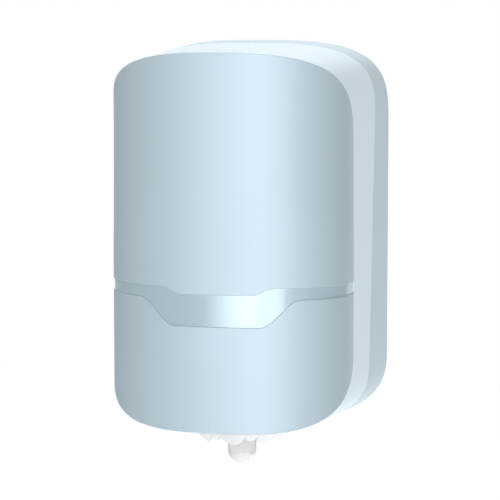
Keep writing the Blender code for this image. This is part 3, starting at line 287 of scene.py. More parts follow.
class Shape:
    """A raw shape: a bmesh that grows by boxes, bars and pushed outlines."""

    def __init__(self) -> None:
        """Starts empty."""
        self.bm = bmesh.new()

    @classmethod
    def of(cls, mesh: bpy.types.Mesh) -> "Shape":
        """Copies a mesh into a shape.

        Args:
            mesh: the mesh.

        Returns:
            The shape.
        """
        shape = cls()
        shape.bm.from_mesh(mesh)
        return shape

    @classmethod
    def loft(cls, rings: Sequence[Sequence[Vector]], capped: bool = False) -> "Shape":
        """Runs a wall through rings of points.

        Args:
            rings: rings of equal count, one after the other.
            capped: whether the first and the last ring are filled, and not joined.

        Returns:
            The closed shape.
        """
        shape = cls()
        bm = shape.bm
        verts = list(bmesh.ops.create_circle(bm, segments=len(rings[0]), radius=1.0)["verts"])
        for vert, point in zip(verts, rings[0]):
            vert.co = point
        edges = list(bm.edges)
        if capped:
            bmesh.ops.edgeloop_fill(bm, edges=edges)
        for points in rings[1:]:
            pushed = bmesh.ops.extrude_edge_only(bm, edges=edges)["geom"]
            fresh = {item for item in pushed if isinstance(item, bmesh.types.BMVert)}
            edges = [item for item in pushed if isinstance(item, bmesh.types.BMEdge)]
            edges = [edge for edge in edges if set(edge.verts) <= fresh]
            moved = []
            for vert, point in zip(verts, points):
                others = (edge.other_vert(vert) for edge in vert.link_edges)
                partner = next(other for other in others if other in fresh)
                partner.co = point
                moved.append(partner)
            verts = moved
        close = bmesh.ops.edgeloop_fill if capped else bmesh.ops.bridge_loops
        close(bm, edges=shape.open_edges())
        return shape

    @classmethod
    def swept(cls, section: Callable[[float], Profile], y: float, steps: int) -> "Shape":
        """Sweeps a section that changes with the turn round an upright axis.

        Args:
            section: gives radius and height pairs, always as many, for a turn.
            y: depth of the axis.
            steps: faces round the axis.

        Returns:
            The closed shape.
        """
        turns = [2 * pi * i / steps for i in range(steps)]
        return cls.loft([
            [
                Vector((radius * sin(turn), y - radius * cos(turn), height))
                for turn, (radius, height) in zip(turns, row)
            ]
            for row in zip(*(section(turn) for turn in turns))
        ])

    @classmethod
    def sheet(cls, columns: int, rows: int, place: Callable[[float, float], Vector]) -> "Shape":
        """Bends a flat grid into a sheet.

        Args:
            columns: steps across.
            rows: steps up.
            place: gives a point for a place across, -1 to 1, and a place up, 0 to 1.

        Returns:
            The sheet.
        """
        shape = cls()
        bmesh.ops.create_grid(shape.bm, x_segments=columns, y_segments=rows, size=1.0)
        for vert in shape.bm.verts:
            vert.co = place(vert.co.x, (vert.co.y + 1) / 2)
        return shape

    @classmethod
    def turned(cls, profile: Profile, steps: int) -> "Shape":
        """Turns a profile of radius and height pairs about the upright axis at the origin.

        Args:
            profile: an open profile that starts and ends on the axis, or a closed one.
            steps: faces round the axis.

        Returns:
            The closed shape.
        """
        shape = cls()
        bm = shape.bm
        corners = [bm.verts.new((radius, 0.0, height)) for radius, height in profile]
        edges = [bm.edges.new(pair) for pair in zip(corners, corners[1:])]
        if min(profile[0][0], profile[-1][0]) > 0:
            edges.append(bm.edges.new((corners[-1], corners[0])))
        bmesh.ops.spin(
            bm, geom=corners + edges, cent=(0.0, 0.0, 0.0), axis=UP, dvec=(0.0, 0.0, 0.0),
            angle=2 * pi, steps=steps, use_merge=True,
        )
        bmesh.ops.remove_doubles(bm, verts=bm.verts, dist=MERGE_DISTANCE)
        return shape

    def open_edges(self) -> list[bmesh.types.BMEdge]:
        """Lists the edges of one face only."""
        return [edge for edge in self.bm.edges if edge.is_boundary]

    def block(self, corner: Sequence[float], opposite: Sequence[float]) -> "Shape":
        """Adds a box.

        Args:
            corner: one of its corners.
            opposite: the corner opposite to that one.

        Returns:
            The shape.
        """
        low = Vector([min(pair) for pair in zip(corner, opposite)])
        high = Vector([max(pair) for pair in zip(corner, opposite)])
        place = Matrix.Translation((low + high) / 2) @ Matrix.Diagonal((*(high - low), 1.0))
        bmesh.ops.create_cube(self.bm, size=1.0, matrix=place)
        return self

    def rod(
        self, radius: float, start: Sequence[float], end: Sequence[float], steps: int = 32
    ) -> "Shape":
        """Adds a round bar.

        Args:
            radius: its radius.
            start: the middle of one end.
            end: the middle of the other end.
            steps: faces round it.

        Returns:
            The shape.
        """
        start, end = Vector(start), Vector(end)
        turn = (end - start).to_track_quat("Z", "Y").to_matrix().to_4x4()
        bmesh.ops.create_cone(
            self.bm, cap_ends=True, segments=steps, radius1=radius, radius2=radius,
            depth=(end - start).length, matrix=Matrix.Translation((start + end) / 2) @ turn,
        )
        return self

    def prism(self, points: Sequence[Sequence[float]], along: Sequence[float]) -> "Shape":
        """Adds a pushed outline.

        Args:
            points: the flat outline.
            along: the vector that it is pushed along.

        Returns:
            The shape.
        """
        face = self.bm.faces.new([self.bm.verts.new(point) for point in points])
        pushed = bmesh.ops.extrude_face_region(self.bm, geom=[face], use_keep_orig=True)["geom"]
        moved = [item for item in pushed if isinstance(item, bmesh.types.BMVert)]
        bmesh.ops.translate(self.bm, vec=along, verts=moved)
        return self

    def plate(self, profile: Profile, x: float, thickness: float) -> "Shape":
        """Adds an upright plate of Y and Z pairs, that goes sideways from a place across."""
        return self.prism([(x, y, z) for y, z in profile], (thickness, 0.0, 0.0))

    def whole_faces(self) -> "Shape":
        """Makes whole flat faces of loose triangles.

        Returns:
            The shape.
        """
        bm = self.bm
        bmesh.ops.remove_doubles(bm, verts=bm.verts, dist=MERGE_DISTANCE)
        bmesh.ops.dissolve_limit(
            bm, angle_limit=FLAT_ANGLE, verts=bm.verts, edges=bm.edges, delimit={"NORMAL"}
        )
        return self

    def outward(self) -> "Shape":
        """Turns every face outwards."""
        bmesh.ops.recalc_face_normals(self.bm, faces=self.bm.faces)
        return self

    def mesh(self, name: str) -> bpy.types.Mesh:
        """Turns the shape into a mesh, and frees the shape.

        Args:
            name: the mesh's name.

        Returns:
            The mesh.
        """
        mesh = bpy.data.meshes.new(name)
        self.bm.to_mesh(mesh)
        self.bm.free()
        return mesh

    def at(self, *places: Matrix) -> "Shape":
        """Puts a copy of the shape at each of some places, and frees the shape.

        Args:
            places: the places.

        Returns:
            The copies, as one shape.
        """
        mesh, whole = self.mesh("copied"), Shape()
        for place in places:
            before = len(whole.bm.verts)
            whole.bm.from_mesh(mesh)
            whole.bm.verts.ensure_lookup_table()
            bmesh.ops.transform(whole.bm, matrix=place, verts=whole.bm.verts[before:])
        bpy.data.meshes.remove(mesh)
        return whole


@dataclass
class Piece:
    """One finished piece: its shape, its finish, and what it stands for."""

    name: str
    body: Body
    slot: Slot
    finish: Material
    nodes: tuple[str, ...] = ()
    crease: float = 35.0
    obj: bpy.types.Object = field(init=False)

    def build(self, shape: Shape) -> "Piece":
        """Makes the object, with smooth faces between sharp creases.

        Args:
            shape: the shape, which is freed.

        Returns:
            The piece.
        """
        mesh = shape.mesh(self.name)
        mesh.shade_smooth()
        mesh.set_sharp_from_angle(angle=radians(self.crease))
        mesh.materials.append(self.finish)
        self.obj = add_object(self.name, mesh)
        return self

    def bevel(self, width: float, segments: int = 2, angle: float = 40.0) -> "Piece":
        """Rounds the sharp edges.

        Args:
            width: the width of the rounding.
            segments: steps across it.
            angle: the bend, in degrees, from which an edge is rounded.

        Returns:
            The piece.
        """
        made = self.obj.modifiers.new("round_edges", "BEVEL")
        made.width, made.segments = width, segments
        made.limit_method, made.angle_limit = "ANGLE", radians(angle)
        made.harden_normals = True
        return self

    def thicken(self, thickness: float) -> "Piece":
        """Gives a sheet its wall, behind its face.

        Args:
            thickness: the wall's thickness.

        Returns:
            The piece.
        """
        made = self.obj.modifiers.new("wall", "SOLIDIFY")
        made.thickness, made.offset, made.use_even_offset = thickness, -1.0, True
        return self

    def combine(self, shapes: Sequence[Shape], operation: Operation) -> "Piece":
        """Works shapes into the piece, one after the other.

        Args:
            shapes: the shapes, which are freed.
            operation: what they do to the piece.

        Returns:
            The piece.
        """
        for shape in shapes:
            mesh = shape.outward().mesh(f"{self.name}_helper")
            helper = add_object(mesh.name, mesh)
            made = self.obj.modifiers.new("combine", "BOOLEAN")
            made.operation, made.solver, made.object = operation.value, "EXACT", helper
            self.apply()
            bpy.data.objects.remove(helper)
            bpy.data.meshes.remove(mesh)
        return self

    def cut(self, *shapes: Shape) -> "Piece":
        """Cuts shapes from the piece."""
        return self.combine(shapes, Operation.CUT)

    def join(self, *shapes: Shape) -> "Piece":
        """Joins shapes to the piece."""
        return self.combine(shapes, Operation.JOIN)

    def apply(self) -> "Piece":
        """Makes one plain mesh of the piece, without the pinholes that a cut can leave.

        Returns:
            The piece.
        """
        bpy.context.view_layer.update()
        graph = bpy.context.evaluated_depsgraph_get()
        made = bpy.data.meshes.new_from_object(
            self.obj.evaluated_get(graph), preserve_all_data_layers=True, depsgraph=graph
        )
        shape = Shape.of(made)
        opened = shape.open_edges()
        if opened:
            bmesh.ops.holes_fill(shape.bm, edges=opened, sides=PINHOLE_SIDES)
            shape.bm.to_mesh(made)
        shape.bm.free()
        old = self.obj.data
        self.obj.modifiers.clear()
        self.obj.data = made
        bpy.data.meshes.remove(old)
        return self

    def place(self) -> bpy.types.Object:
        """Puts the piece on its body and in the place of its nodes.

        Returns:
            The piece's object.
        """
        obj = self.obj
        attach(obj, self.body.value)
        if self.nodes:
            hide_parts(*self.nodes)
        LOG.info("piece %s on %s", self.name, self.body.value)
        return obj


class Wire:
    """One socket of a shader, with the arithmetic that a mask needs."""

    def __init__(self, nodes: "Nodes", socket: bpy.types.NodeSocket) -> None:
        """Wraps an output socket."""
        self.nodes, self.socket = nodes, socket

    def math(self, operation: str, first: Any, second: Any) -> "Wire":
        """Adds a Math node."""
        return self.nodes.add("ShaderNodeMath", {"operation": operation}, {0: first, 1: second})

    def __add__(self, other: Any) -> "Wire":
        """Adds."""
        return self.math("ADD", self, other)

    __radd__ = __add__

    def __sub__(self, other: Any) -> "Wire":
        """Subtracts."""
        return self.math("SUBTRACT", self, other)

    def __rsub__(self, other: Any) -> "Wire":
        """Subtracts from a value."""
        return self.math("SUBTRACT", other, self)

    def __mul__(self, other: Any) -> "Wire":
        """Multiplies."""
        return self.math("MULTIPLY", self, other)

    __rmul__ = __mul__

    def __or__(self, other: Any) -> "Wire":
        """Takes the larger of two masks."""
        return self.math("MAXIMUM", self, other)


class Nodes:
    """The nodes of a material or of the world."""

    def __init__(self, owner: Material | bpy.types.World) -> None:
        """Turns the owner's nodes on."""
        owner.use_nodes = True
        self.tree = owner.node_tree

    def fill(self, node: bpy.types.Node | str, values: dict[Any, Any]) -> None:
        """Gives values or wires to the inputs of a node.

        Args:
            node: the node, or its name in the tree.
            values: values or wires by input.
        """
        inputs = (self.tree.nodes[node] if isinstance(node, str) else node).inputs
        for key, value in values.items():
            if isinstance(value, Wire):
                self.tree.links.new(value.socket, inputs[key])
            else:
                inputs[key].default_value = value

    def add(
        self, kind: str, settings: dict[str, Any], values: dict[Any, Any], output: int | str = 0
    ) -> Wire:
        """Adds a node.

        Args:
            kind: the node's type.
            settings: its settings, such as an operation, which are set first.
            values: values or wires for its inputs.
            output: which of its outputs is wanted.

        Returns:
            A wire on that output.
        """
        made = self.tree.nodes.new(kind)
        for key, value in settings.items():
            setattr(made, key, value)
        self.fill(made, values)
        return Wire(self, made.outputs[output])


@dataclass
class Finish:
    """A moulded or metal finish, with fine unevenness in colour, roughness and surface."""

    name: str
    color: tuple[float, float, float]
    roughness: float
    coat: float = 0.0
    metallic: float = 0.0
    alpha: float = 1.0
    specular: float = 0.5
    coat_roughness: float = 0.1
    drift_scale: float = 9.0
    drift_detail: float = 2.0
    tint_share: float = 0.03
    grain_scale: float = 900.0
    grain_detail: float = 3.0
    grain_depth: float = 0.000004
    roughness_spread: float = 0.06
    material: Material = field(init=False)

    def __post_init__(self) -> None:
        """Builds the material."""
        self.material = bpy.data.materials.new(self.name)
        nodes = Nodes(self.material)
        drift = self.noise(nodes, self.drift_scale, self.drift_detail)
        dark = tuple(part * (1 - self.tint_share) for part in self.color)
        colors = {"Factor": drift, "A": (*self.color, 1.0), "B": (*dark, 1.0)}
        tinted = nodes.add("ShaderNodeMix", {"data_type": "RGBA"}, colors, "Result")
        grain = self.noise(nodes, self.grain_scale, self.grain_detail)
        low = self.roughness - self.roughness_spread / 2
        height = {"Strength": 1.0, "Distance": self.grain_depth, "Height": grain}
        nodes.fill("Principled BSDF", {
            "Metallic": self.metallic, "Coat Weight": self.coat,
            "Coat Roughness": self.coat_roughness, "Specular IOR Level": self.specular,
            "Alpha": self.alpha, "Base Color": tinted,
            "Roughness": grain * self.roughness_spread + low,
            "Normal": nodes.add("ShaderNodeBump", {}, height),
        })

    def noise(self, nodes: Nodes, scale: float, detail: float) -> Wire:
        """Gives a noise pattern on the piece.

        Args:
            nodes: where the pattern is wanted.
            scale: bumps per metre.
            detail: how many finer layers there are.

        Returns:
            The pattern.
        """
        place = nodes.add("ShaderNodeTexCoord", {}, {}, "Object")
        values = {"Vector": place, "Scale": scale, "Detail": detail}
        return nodes.add("ShaderNodeTexNoise", {}, values)


@dataclass
class Studio:
    """Camera, lamps, floor and backdrop."""

    eye: Point = (0.46080, -2.23070, 0.24378)
    azimuth: float = 0.2097
    pitch: float = 0.11403
    sensor: float = 36.0
    focal_share: float = 2178.69 / 500
    clip_end: float = 50.0
    aim: Point = (0.0, -0.12, 0.0)
    distance: float = 2.6
    wall_centre: float = 0.6
    wall_height: float = 3.4
    walls: tuple[tuple[str, float, float, float], ...] = (
        ("key_edge", -26.0, -12.0, 1.0), ("key_left", -12.0, -2.0, 17.0),
        ("key_middle", -2.0, 6.0, 19.0), ("key_right", 6.0, 28.0, 38.0),
        ("right_fill", 28.0, 52.0, 6.5), ("right_back", 136.0, 164.0, 8.0),
    )
    boxes: tuple[tuple[str, Point, float, float], ...] = (
        ("top_back", (0.3, 1.4, 2.0), 1.6, 33.0), ("top_back_left", (-1.5, 0.9, 1.9), 1.6, 28.0),
        ("below_right", (0.75, 0.35, -0.95), 0.6, 4.0),
    )
    fill: float = 0.04
    floor: float = -1.20
    floor_half: float = 6.0
    floor_tone: float = 0.90
    floor_roughness: float = 0.90
    floor_glow: float = 0.90

    def build(self) -> None:
        """Sets up the whole studio."""
        self.camera()
        self.world()
        self.lamps()
        self.surroundings()
        bpy.context.scene.view_settings.view_transform = "Standard"

    def camera(self) -> None:
        """Places the camera at the photograph's viewing angle."""
        data = bpy.data.cameras.new("camera")
        data.sensor_width, data.clip_end = self.sensor, self.clip_end
        data.lens = self.sensor * self.focal_share
        camera = add_object("camera", data)
        camera.location = self.eye
        camera.rotation_euler = (pi / 2 - self.pitch, 0.0, self.azimuth)
        bpy.context.scene.camera = camera

    @staticmethod
    def seen(nodes: Nodes) -> Wire:
        """Tells rays of the camera, of gloss and through glass, at 1, from all others, at 0.

        Args:
            nodes: where the mask is wanted.

        Returns:
            The mask.
        """
        path = nodes.add("ShaderNodeLightPath", {}, {}).socket.node.outputs
        mask = Wire(nodes, path["Is Camera Ray"])
        for name in ("Is Glossy Ray", "Is Transmission Ray"):
            mask = mask | Wire(nodes, path[name])
        return mask

    def world(self) -> None:
        """Gives a faint light from all round, white where it is seen."""
        world = bpy.data.worlds.new("studio")
        bpy.context.scene.world = world
        nodes = Nodes(world)
        levels = {"Value": self.seen(nodes), "To Min": self.fill, "To Max": 1.0}
        level = nodes.add("ShaderNodeMapRange", {}, levels)
        nodes.fill("Background", {"Color": WHITE, "Strength": level})

    def lamp(
        self, name: str, place: Sequence[float], aim: Point, size: tuple[float, float],
        power: float,
    ) -> None:
        """Adds one softbox.

        Args:
            name: the lamp's name.
            place: where it stands.
            aim: the point that it faces.
            size: its width and height.
            power: its power in watts.
        """
        data = bpy.data.lights.new(name, "AREA")
        data.shape, data.energy = "RECTANGLE", power
        data.size, data.size_y = size
        lamp = add_object(name, data)
        lamp.location = place
        turn = (Vector(aim) - Vector(place)).to_track_quat("-Z", "Y")
        lamp.rotation_euler = turn.to_euler()

    def lamps(self) -> None:
        """Stands tall softboxes round the object, and smaller ones above and below."""
        x, y, z = *self.aim[:2], self.wall_centre
        for name, start, end, power in self.walls:
            turn, half = radians((start + end) / 2), radians((end - start) / 2)
            place = (x + self.distance * sin(turn), y - self.distance * cos(turn), z)
            width = 2 * self.distance * tan(half)
            self.lamp(name, place, (x, y, z), (width, self.wall_height), power)
        for name, place, side, power in self.boxes:
            self.lamp(name, place, self.aim, (side, side), power)

    def surroundings(self) -> None:
        """Adds the pale floor and backdrop."""
        material = bpy.data.materials.new("studio_white")
        nodes = Nodes(material)
        tone = (self.floor_tone,) * 3 + (1.0,)
        nodes.fill("Principled BSDF", {"Base Color": tone, "Roughness": self.floor_roughness})
        glow = nodes.add("ShaderNodeEmission", {}, {"Strength": self.seen(nodes) * self.floor_glow})
        plain = Wire(nodes, nodes.tree.nodes["Principled BSDF"].outputs[0])
        both = nodes.add("ShaderNodeAddShader", {}, {0: plain, 1: glow})
        nodes.fill("Material Output", {"Surface": both})
        shape = Shape()
        bmesh.ops.create_grid(shape.bm, x_segments=1, y_segments=1, size=self.floor_half)
        floor = add_object("floor", shape.at(Matrix.Translation(self.floor * UP)).mesh("floor"))
        floor.data.materials.append(material)


@dataclass(frozen=True)
class SteppedEdge:
    """An edge of the window band: level at the sides and in the middle, with a soft step."""

    side: float
    middle: float
    near: float
    far: float

    def height(self, x: float) -> float:
        """Finds the edge's height at a place across."""
        step = min(1.0, max(0.0, (abs(x) - self.near) / (self.far - self.near)))
        return self.middle + (self.side - self.middle) * (step * step * (3 - 2 * step))


@dataclass
class Cover:
    """The hinged cover: shell, blue skins and window band."""

    casing: Casing
    white: Material
    blue: Material
    clear: Material
    panel_wall: float = 0.0022
    skin_rows: int = 10
    skin_edge: float = 0.0005
    window_recess: float = 0.0011
    window_edge: float = 0.0001
    top_edge: SteppedEdge = SteppedEdge(-0.0292, -0.0359, 0.0360, 0.0540)
    bottom_edge: SteppedEdge = SteppedEdge(-0.0403, -0.0667, 0.0420, 0.0800)
    flange: float = 0.0080
    side_steps: int = 6
    side_edge: float = 0.0006
    wall_rows: int = 4
    window_border: float = 0.0035
    window_end: float = 0.1000
    peg_x: float = 0.0600
    peg_radius: float = 0.0025
    peg_behind: float = 0.0015
    peg_head: Profile = ((1.0, 0.4), (0.86, 0.8), (0.55, 1.0))
    peg_steps: int = 32
    upper_pegs: tuple[float, float] = (0.1500, 0.0100)
    lower_pegs: tuple[float, float] = (-0.0950, -0.1450)

    def skin(
        self, piece: Piece, low: HeightAt, high: HeightAt, setback: float, wall: float,
        rows: int, edge: float = 0.0,
    ) -> None:
        """Builds one bowed sheet with its wall.

        Args:
            piece: what the sheet is.
            low: gives the height of its lower edge for a share of the half width.
            high: gives the height of its upper edge for a share of the half width.
            setback: distance of its face behind the casing's face.
            wall: its thickness.
            rows: steps from edge to edge.
            edge: width of the rounding of its edges, if they are rounded.
        """

        def point(across: float, up: float) -> Vector:
            """Places a grid point on the bow.

            Args:
                across: place across, -1 to 1.
                up: place up, 0 to 1.

            Returns:
                The point.
            """
            share = self.casing.share_at(across)
            x, y = self.casing.bow_point(share, setback)
            return Vector((x, y, low(share) + (high(share) - low(share)) * up))

        piece.build(Shape.sheet(2 * self.casing.columns, rows, point))
        mesh = piece.obj.data
        if mesh.polygons[0].normal.y > 0:
            mesh.flip_normals()
        self.casing.draw_in(mesh)
        piece.thicken(wall)
        if edge:
            piece.bevel(edge, FINE_SEGMENTS)
        piece.place()

    def build(self) -> None:
        """Builds every piece of the cover."""
        gap, half = self.casing.fit / 2, self.casing.front.half_width

        def top_seam(share: float) -> float:
            """Finds the height of the seam above the window."""
            return self.top_edge.height(share * half) + gap

        def bottom_seam(share: float) -> float:
            """Finds the height of the seam below the window."""
            return self.bottom_edge.height(share * half) - gap

        rim = self.casing.front.height
        for name, node, low, high in (
            ("upper_skin", "upper_front_panel", top_seam, partial(rim, upper=True)),
            ("lower_skin", "lower_front_panel", partial(rim, upper=False), bottom_seam),
        ):
            piece = Piece(name, Body.COVER, Slot.BLUE, self.blue, (node,))
            self.skin(piece, low, high, 0.0, self.panel_wall, self.skin_rows, self.skin_edge)
        self.frame()
        self.front_wall()
        self.knuckles()
        Latch().keeper(Piece("cover_keeper", Body.COVER, Slot.WHITE, self.white), self.casing)
        piece = Piece("window", Body.COVER, Slot.WINDOW, self.clear, ("window_band",))
        recess, wall = self.window_recess, self.panel_wall - self.window_recess
        self.skin(piece, bottom_seam, top_seam, recess, wall, self.skin_rows, self.window_edge)
        self.pegs("upper_pegs", self.upper_pegs)
        self.pegs("lower_pegs", self.lower_pegs)

    def pegs(self, name: str, heights: Sequence[float]) -> None:
        """Builds the round pegs that hold a skin, with the heads that close them inside.

        Args:
            name: the piece's name.
            heights: the heights of the pegs.
        """
        casing, radius = self.casing, self.peg_radius
        share = self.peg_x / casing.front.half_width
        start = casing.bow_point(share, self.panel_wall / 2)[1]
        length = casing.bow_point(share, self.panel_wall + casing.fit + casing.wall)[1] - start
        head = [(radius * wide, length + self.peg_behind * deep) for wide, deep in self.peg_head]
        profile = ((0.0, 0.0), (radius, 0.0), *head, (0.0, head[-1][1]))
        places = [
            Matrix.Translation((x, start, z)) @ TOWARDS_WALL
            for x in (-self.peg_x, self.peg_x) for z in heights
        ]
        piece = Piece(name, Body.COVER, Slot.BLUE, self.blue)
        piece.build(Shape.turned(profile, self.peg_steps).at(*places).outward()).place()

    def frame(self) -> None:
        """Builds the cover's side wall, with its rims and its openings at the bottom."""
        casing, fit, wall = self.casing, self.casing.fit, self.casing.wall
        front, inside = self.panel_wall + fit, self.panel_wall + fit + wall

        def outer(share: float, upper: bool, place: float) -> Vector:
            """Runs over the outer face.

            Args:
                share: place across, as a share of the half width.
                upper: whether the point is on the upper half.
                place: 0 at the front rim to 1 at the split.

            Returns:
                The point.
            """
            y = casing.bow_point(share, front)[1] + fit
            start = casing.wall_at_depth(share, upper, 0.0, y)
            return start.lerp(casing.wall_at_split(share, upper, 0.0, -fit / 2), place)

        def inner(share: float, upper: bool) -> Vector:
            """Follows the corner between the side wall and the front wall, inside."""
            y = casing.bow_point(share, inside)[1] + fit
            return casing.wall_at_depth(share, upper, wall, y)

        steps = self.side_steps
        rings = [
            casing.ring(casing.front_point, inside, self.flange),
            casing.ring(casing.front_point, front, self.flange),
            casing.ring(casing.front_point, front),
            *(casing.ring(outer, step / steps) for step in range(steps + 1)),
            casing.ring(casing.wall_at_split, wall, -fit / 2),
            casing.ring(inner),
        ]
        piece = Piece("cover_frame", Body.COVER, Slot.WHITE, self.white, ("cover_shell",))
        piece.build(Shape.loft(rings).outward())
        casing.draw_in(piece.obj.data)
        piece.bevel(self.side_edge, angle=RIM_ANGLE).apply()
        piece.cut(*Opening(casing).cover_cutters()).place()

    def front_wall(self) -> None:
        """Builds the wall behind the skins, open behind the window."""

        def seam(share: float, upper: bool) -> float:
            """Finds an edge of the opening, or the middle of the window beyond its ends.

            Args:
                share: place across, as a share of the half width.
                upper: whether the edge of the upper wall is meant.

            Returns:
                The height.
            """
            x = share * self.casing.front.half_width
            top, bottom = self.top_edge.height(x), self.bottom_edge.height(x)
            if abs(x) > self.window_end:
                return (top + bottom) / 2
            return top - self.window_border if upper else bottom + self.window_border

        setback = self.panel_wall + self.casing.fit
        rim = partial(self.casing.front.height, inset=self.flange)
        for name, low, high in (
            ("front_wall_upper", partial(seam, upper=True), partial(rim, upper=True)),
            ("front_wall_lower", partial(rim, upper=False), partial(seam, upper=False)),
        ):
            piece = Piece(name, Body.COVER, Slot.WHITE, self.white)
            self.skin(piece, low, high, setback, self.casing.wall, self.wall_rows)

    def knuckles(self) -> None:
        """Builds the cover's two hinge knuckles."""
        for side, word in SIDES:
            piece = Piece(f"cover_knuckle_{word}", Body.COVER, Slot.WHITE, self.white)
            Hinge(self.casing).build_knuckle(piece, side)


@dataclass
class Latch:
    """The latch at the top of the split, with the keeper's tongue above its bolt."""

    y: float = -0.0555855
    top: float = 0.1866763
    gap: float = 0.0010
    tongue_wall: float = 0.0026
    tongue_half: float = 0.0125
    tongue_front: float = 0.0215
    tongue_rear: float = 0.0090
    root: float = 0.0080
    hole_x: float = 0.0088
    hole_y: float = 0.00475
    hole_past: float = 0.0100
    hole_above: float = 0.0010
    slot_x: float = 0.00415
    slot_width: float = 0.0020
    slot_length: float = 0.0060
    slot_rise: float = 0.0066
    slot_past: float = 0.0003
    slot_top: float = 0.2100
    split_y: float = -0.0525855

    def keeper(self, piece: Piece, casing: Casing) -> None:
        """Builds the keeper under the cover's top, with its hole for the bolt.

        Args:
            piece: what the keeper is.
            casing: the casing whose top it hangs from.
        """
        bottom, half = self.top + self.gap, self.tongue_half
        top, root = bottom + self.tongue_wall, self.y - self.root
        front, rear = self.y - self.tongue_front, self.y + self.tongue_rear
        ceiling = casing.wall_at_split(0.0, True, casing.wall).z
        profile = (
            (front, bottom), (rear, bottom), (rear, top), (root, top), (root, ceiling),
            (front, ceiling),
        )
        hole = Shape().block(
            (-self.hole_x, self.y - self.hole_y, bottom - self.hole_past),
            (self.hole_x, self.y + self.hole_y, top + self.hole_above),
        )
        piece.build(Shape().plate(profile, -half, 2 * half).outward())
        piece.cut(hole).bevel(SMALL_EDGE).place()

    def key_slots(self) -> Shape:
        """Makes the two slots for the key's prongs.

        Returns:
            The slots.
        """
        slots, half = Shape(), self.slot_width / 2
        for side, _ in SIDES:
            x = side * self.slot_x
            slots.block(
                (x - half, self.split_y - self.slot_length, self.top + self.slot_rise),
                (x + half, self.split_y + self.slot_past, self.slot_top),
            )
        return slots

    def build(self, nodes: dict[str, Any], inner: Material, white: Material) -> None:
        """Copies the bracket, the cap and the bolt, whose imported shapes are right.

        Args:
            nodes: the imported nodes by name.
            inner: finish of the bracket and the cap.
            white: finish of the bolt.
        """
        for node, body, slot, finish in (
            ("latch_bracket", Body.HOUSING, Slot.INNER, inner),
            ("latch_cap", Body.HOUSING, Slot.INNER, inner),
            ("latch_bolt", Body.BOLT, Slot.LATCH, white),
        ):
            piece = Piece(f"{node}_fine", body, slot, finish, (node,))
            piece.build(Shape.of(nodes[node].data).whole_faces().outward())
            piece.bevel(SMALL_EDGE).place()


@dataclass
class Hinge:
    """The hinge at the bottom of the split."""

    casing: Casing
    y: float = -0.0797583
    z: float = -0.1770386
    barrel: float = 0.0035
    barrel_steps: int = 16
    pin: float = 0.0016
    inner: float = 0.0590
    lug: float = 0.0036
    knuckle: float = 0.0084
    arm: float = 0.0200
    foot: float = 0.0120
    pocket: float = 0.0095
    past: float = 0.0040
    floor_tries: int = 40

    def stations(self) -> tuple[tuple[float, float], ...]:
        """Spaces the leaves along the pin.

        Returns:
            The X ranges of the inner lug, the knuckle and the outer lug.
        """
        fit = self.casing.fit
        inner = (self.inner, self.inner + self.lug)
        knuckle = (inner[1] + fit, inner[1] + fit + self.knuckle)
        return inner, knuckle, (knuckle[1] + fit, knuckle[1] + fit + self.lug)

    def floor(self, x: float, y: float) -> float:
        """Finds the height of the casing's underside.

        Args:
            x: place across.
            y: depth.

        Returns:
            The height.
        """
        share = min(1.0, abs(x) / self.casing.rear.half_width)
        for _ in range(self.floor_tries):
            point = self.casing.wall_at_depth(share, False, 0.0, y)
            share = min(1.0, share * abs(x) / point.x)
        return self.casing.wall_at_depth(share, False, 0.0, y).z

    def leaves(
        self, piece: Piece, side: int, stations: Sequence[tuple[float, float]], reach: float,
        foot_start: float,
    ) -> None:
        """Builds bored barrels with arms that run to their feet on the casing's wall.

        Args:
            piece: what the leaves are.
            side: -1 for the left hinge, 1 for the right hinge.
            stations: their X ranges.
            reach: where their feet end, behind the pin.
            foot_start: where their feet start, behind the pin.
        """
        forward, shape = copysign(1, reach), Shape()
        turns = [pi * i / self.barrel_steps for i in range(self.barrel_steps + 1)]
        for start, end in stations:
            foot_z = self.floor((start + end) / 2, self.y + reach) + self.casing.wall / 2
            profile = [
                (self.y - forward * self.barrel * sin(a), self.z - self.barrel * cos(a))
                for a in turns
            ]
            profile += [
                (self.y + reach, self.z + self.barrel), (self.y + reach, foot_z),
                (self.y + foot_start, foot_z), (self.y + foot_start, self.z - self.barrel),
            ]
            shape.plate(profile, side * start, side * (end - start))
        inner, _, outer = self.stations()
        ends = [(side * x, self.y, self.z) for x in (inner[0] - self.past, outer[1] + self.past)]
        bore = Shape().rod(self.pin + self.casing.fit, *ends)
        piece.build(shape.outward()).cut(bore).bevel(SMALL_EDGE).place()

    def build_knuckle(self, piece: Piece, side: int) -> None:
        """Builds the cover's knuckle on one side."""
        self.leaves(piece, side, self.stations()[1:2], -self.arm, self.foot - self.arm)

    def build_lugs(self, piece: Piece, side: int) -> None:
        """Builds the housing's two lugs on one side."""
        start = self.pocket + self.casing.fit
        self.leaves(piece, side, self.stations()[::2], start + self.foot, start)


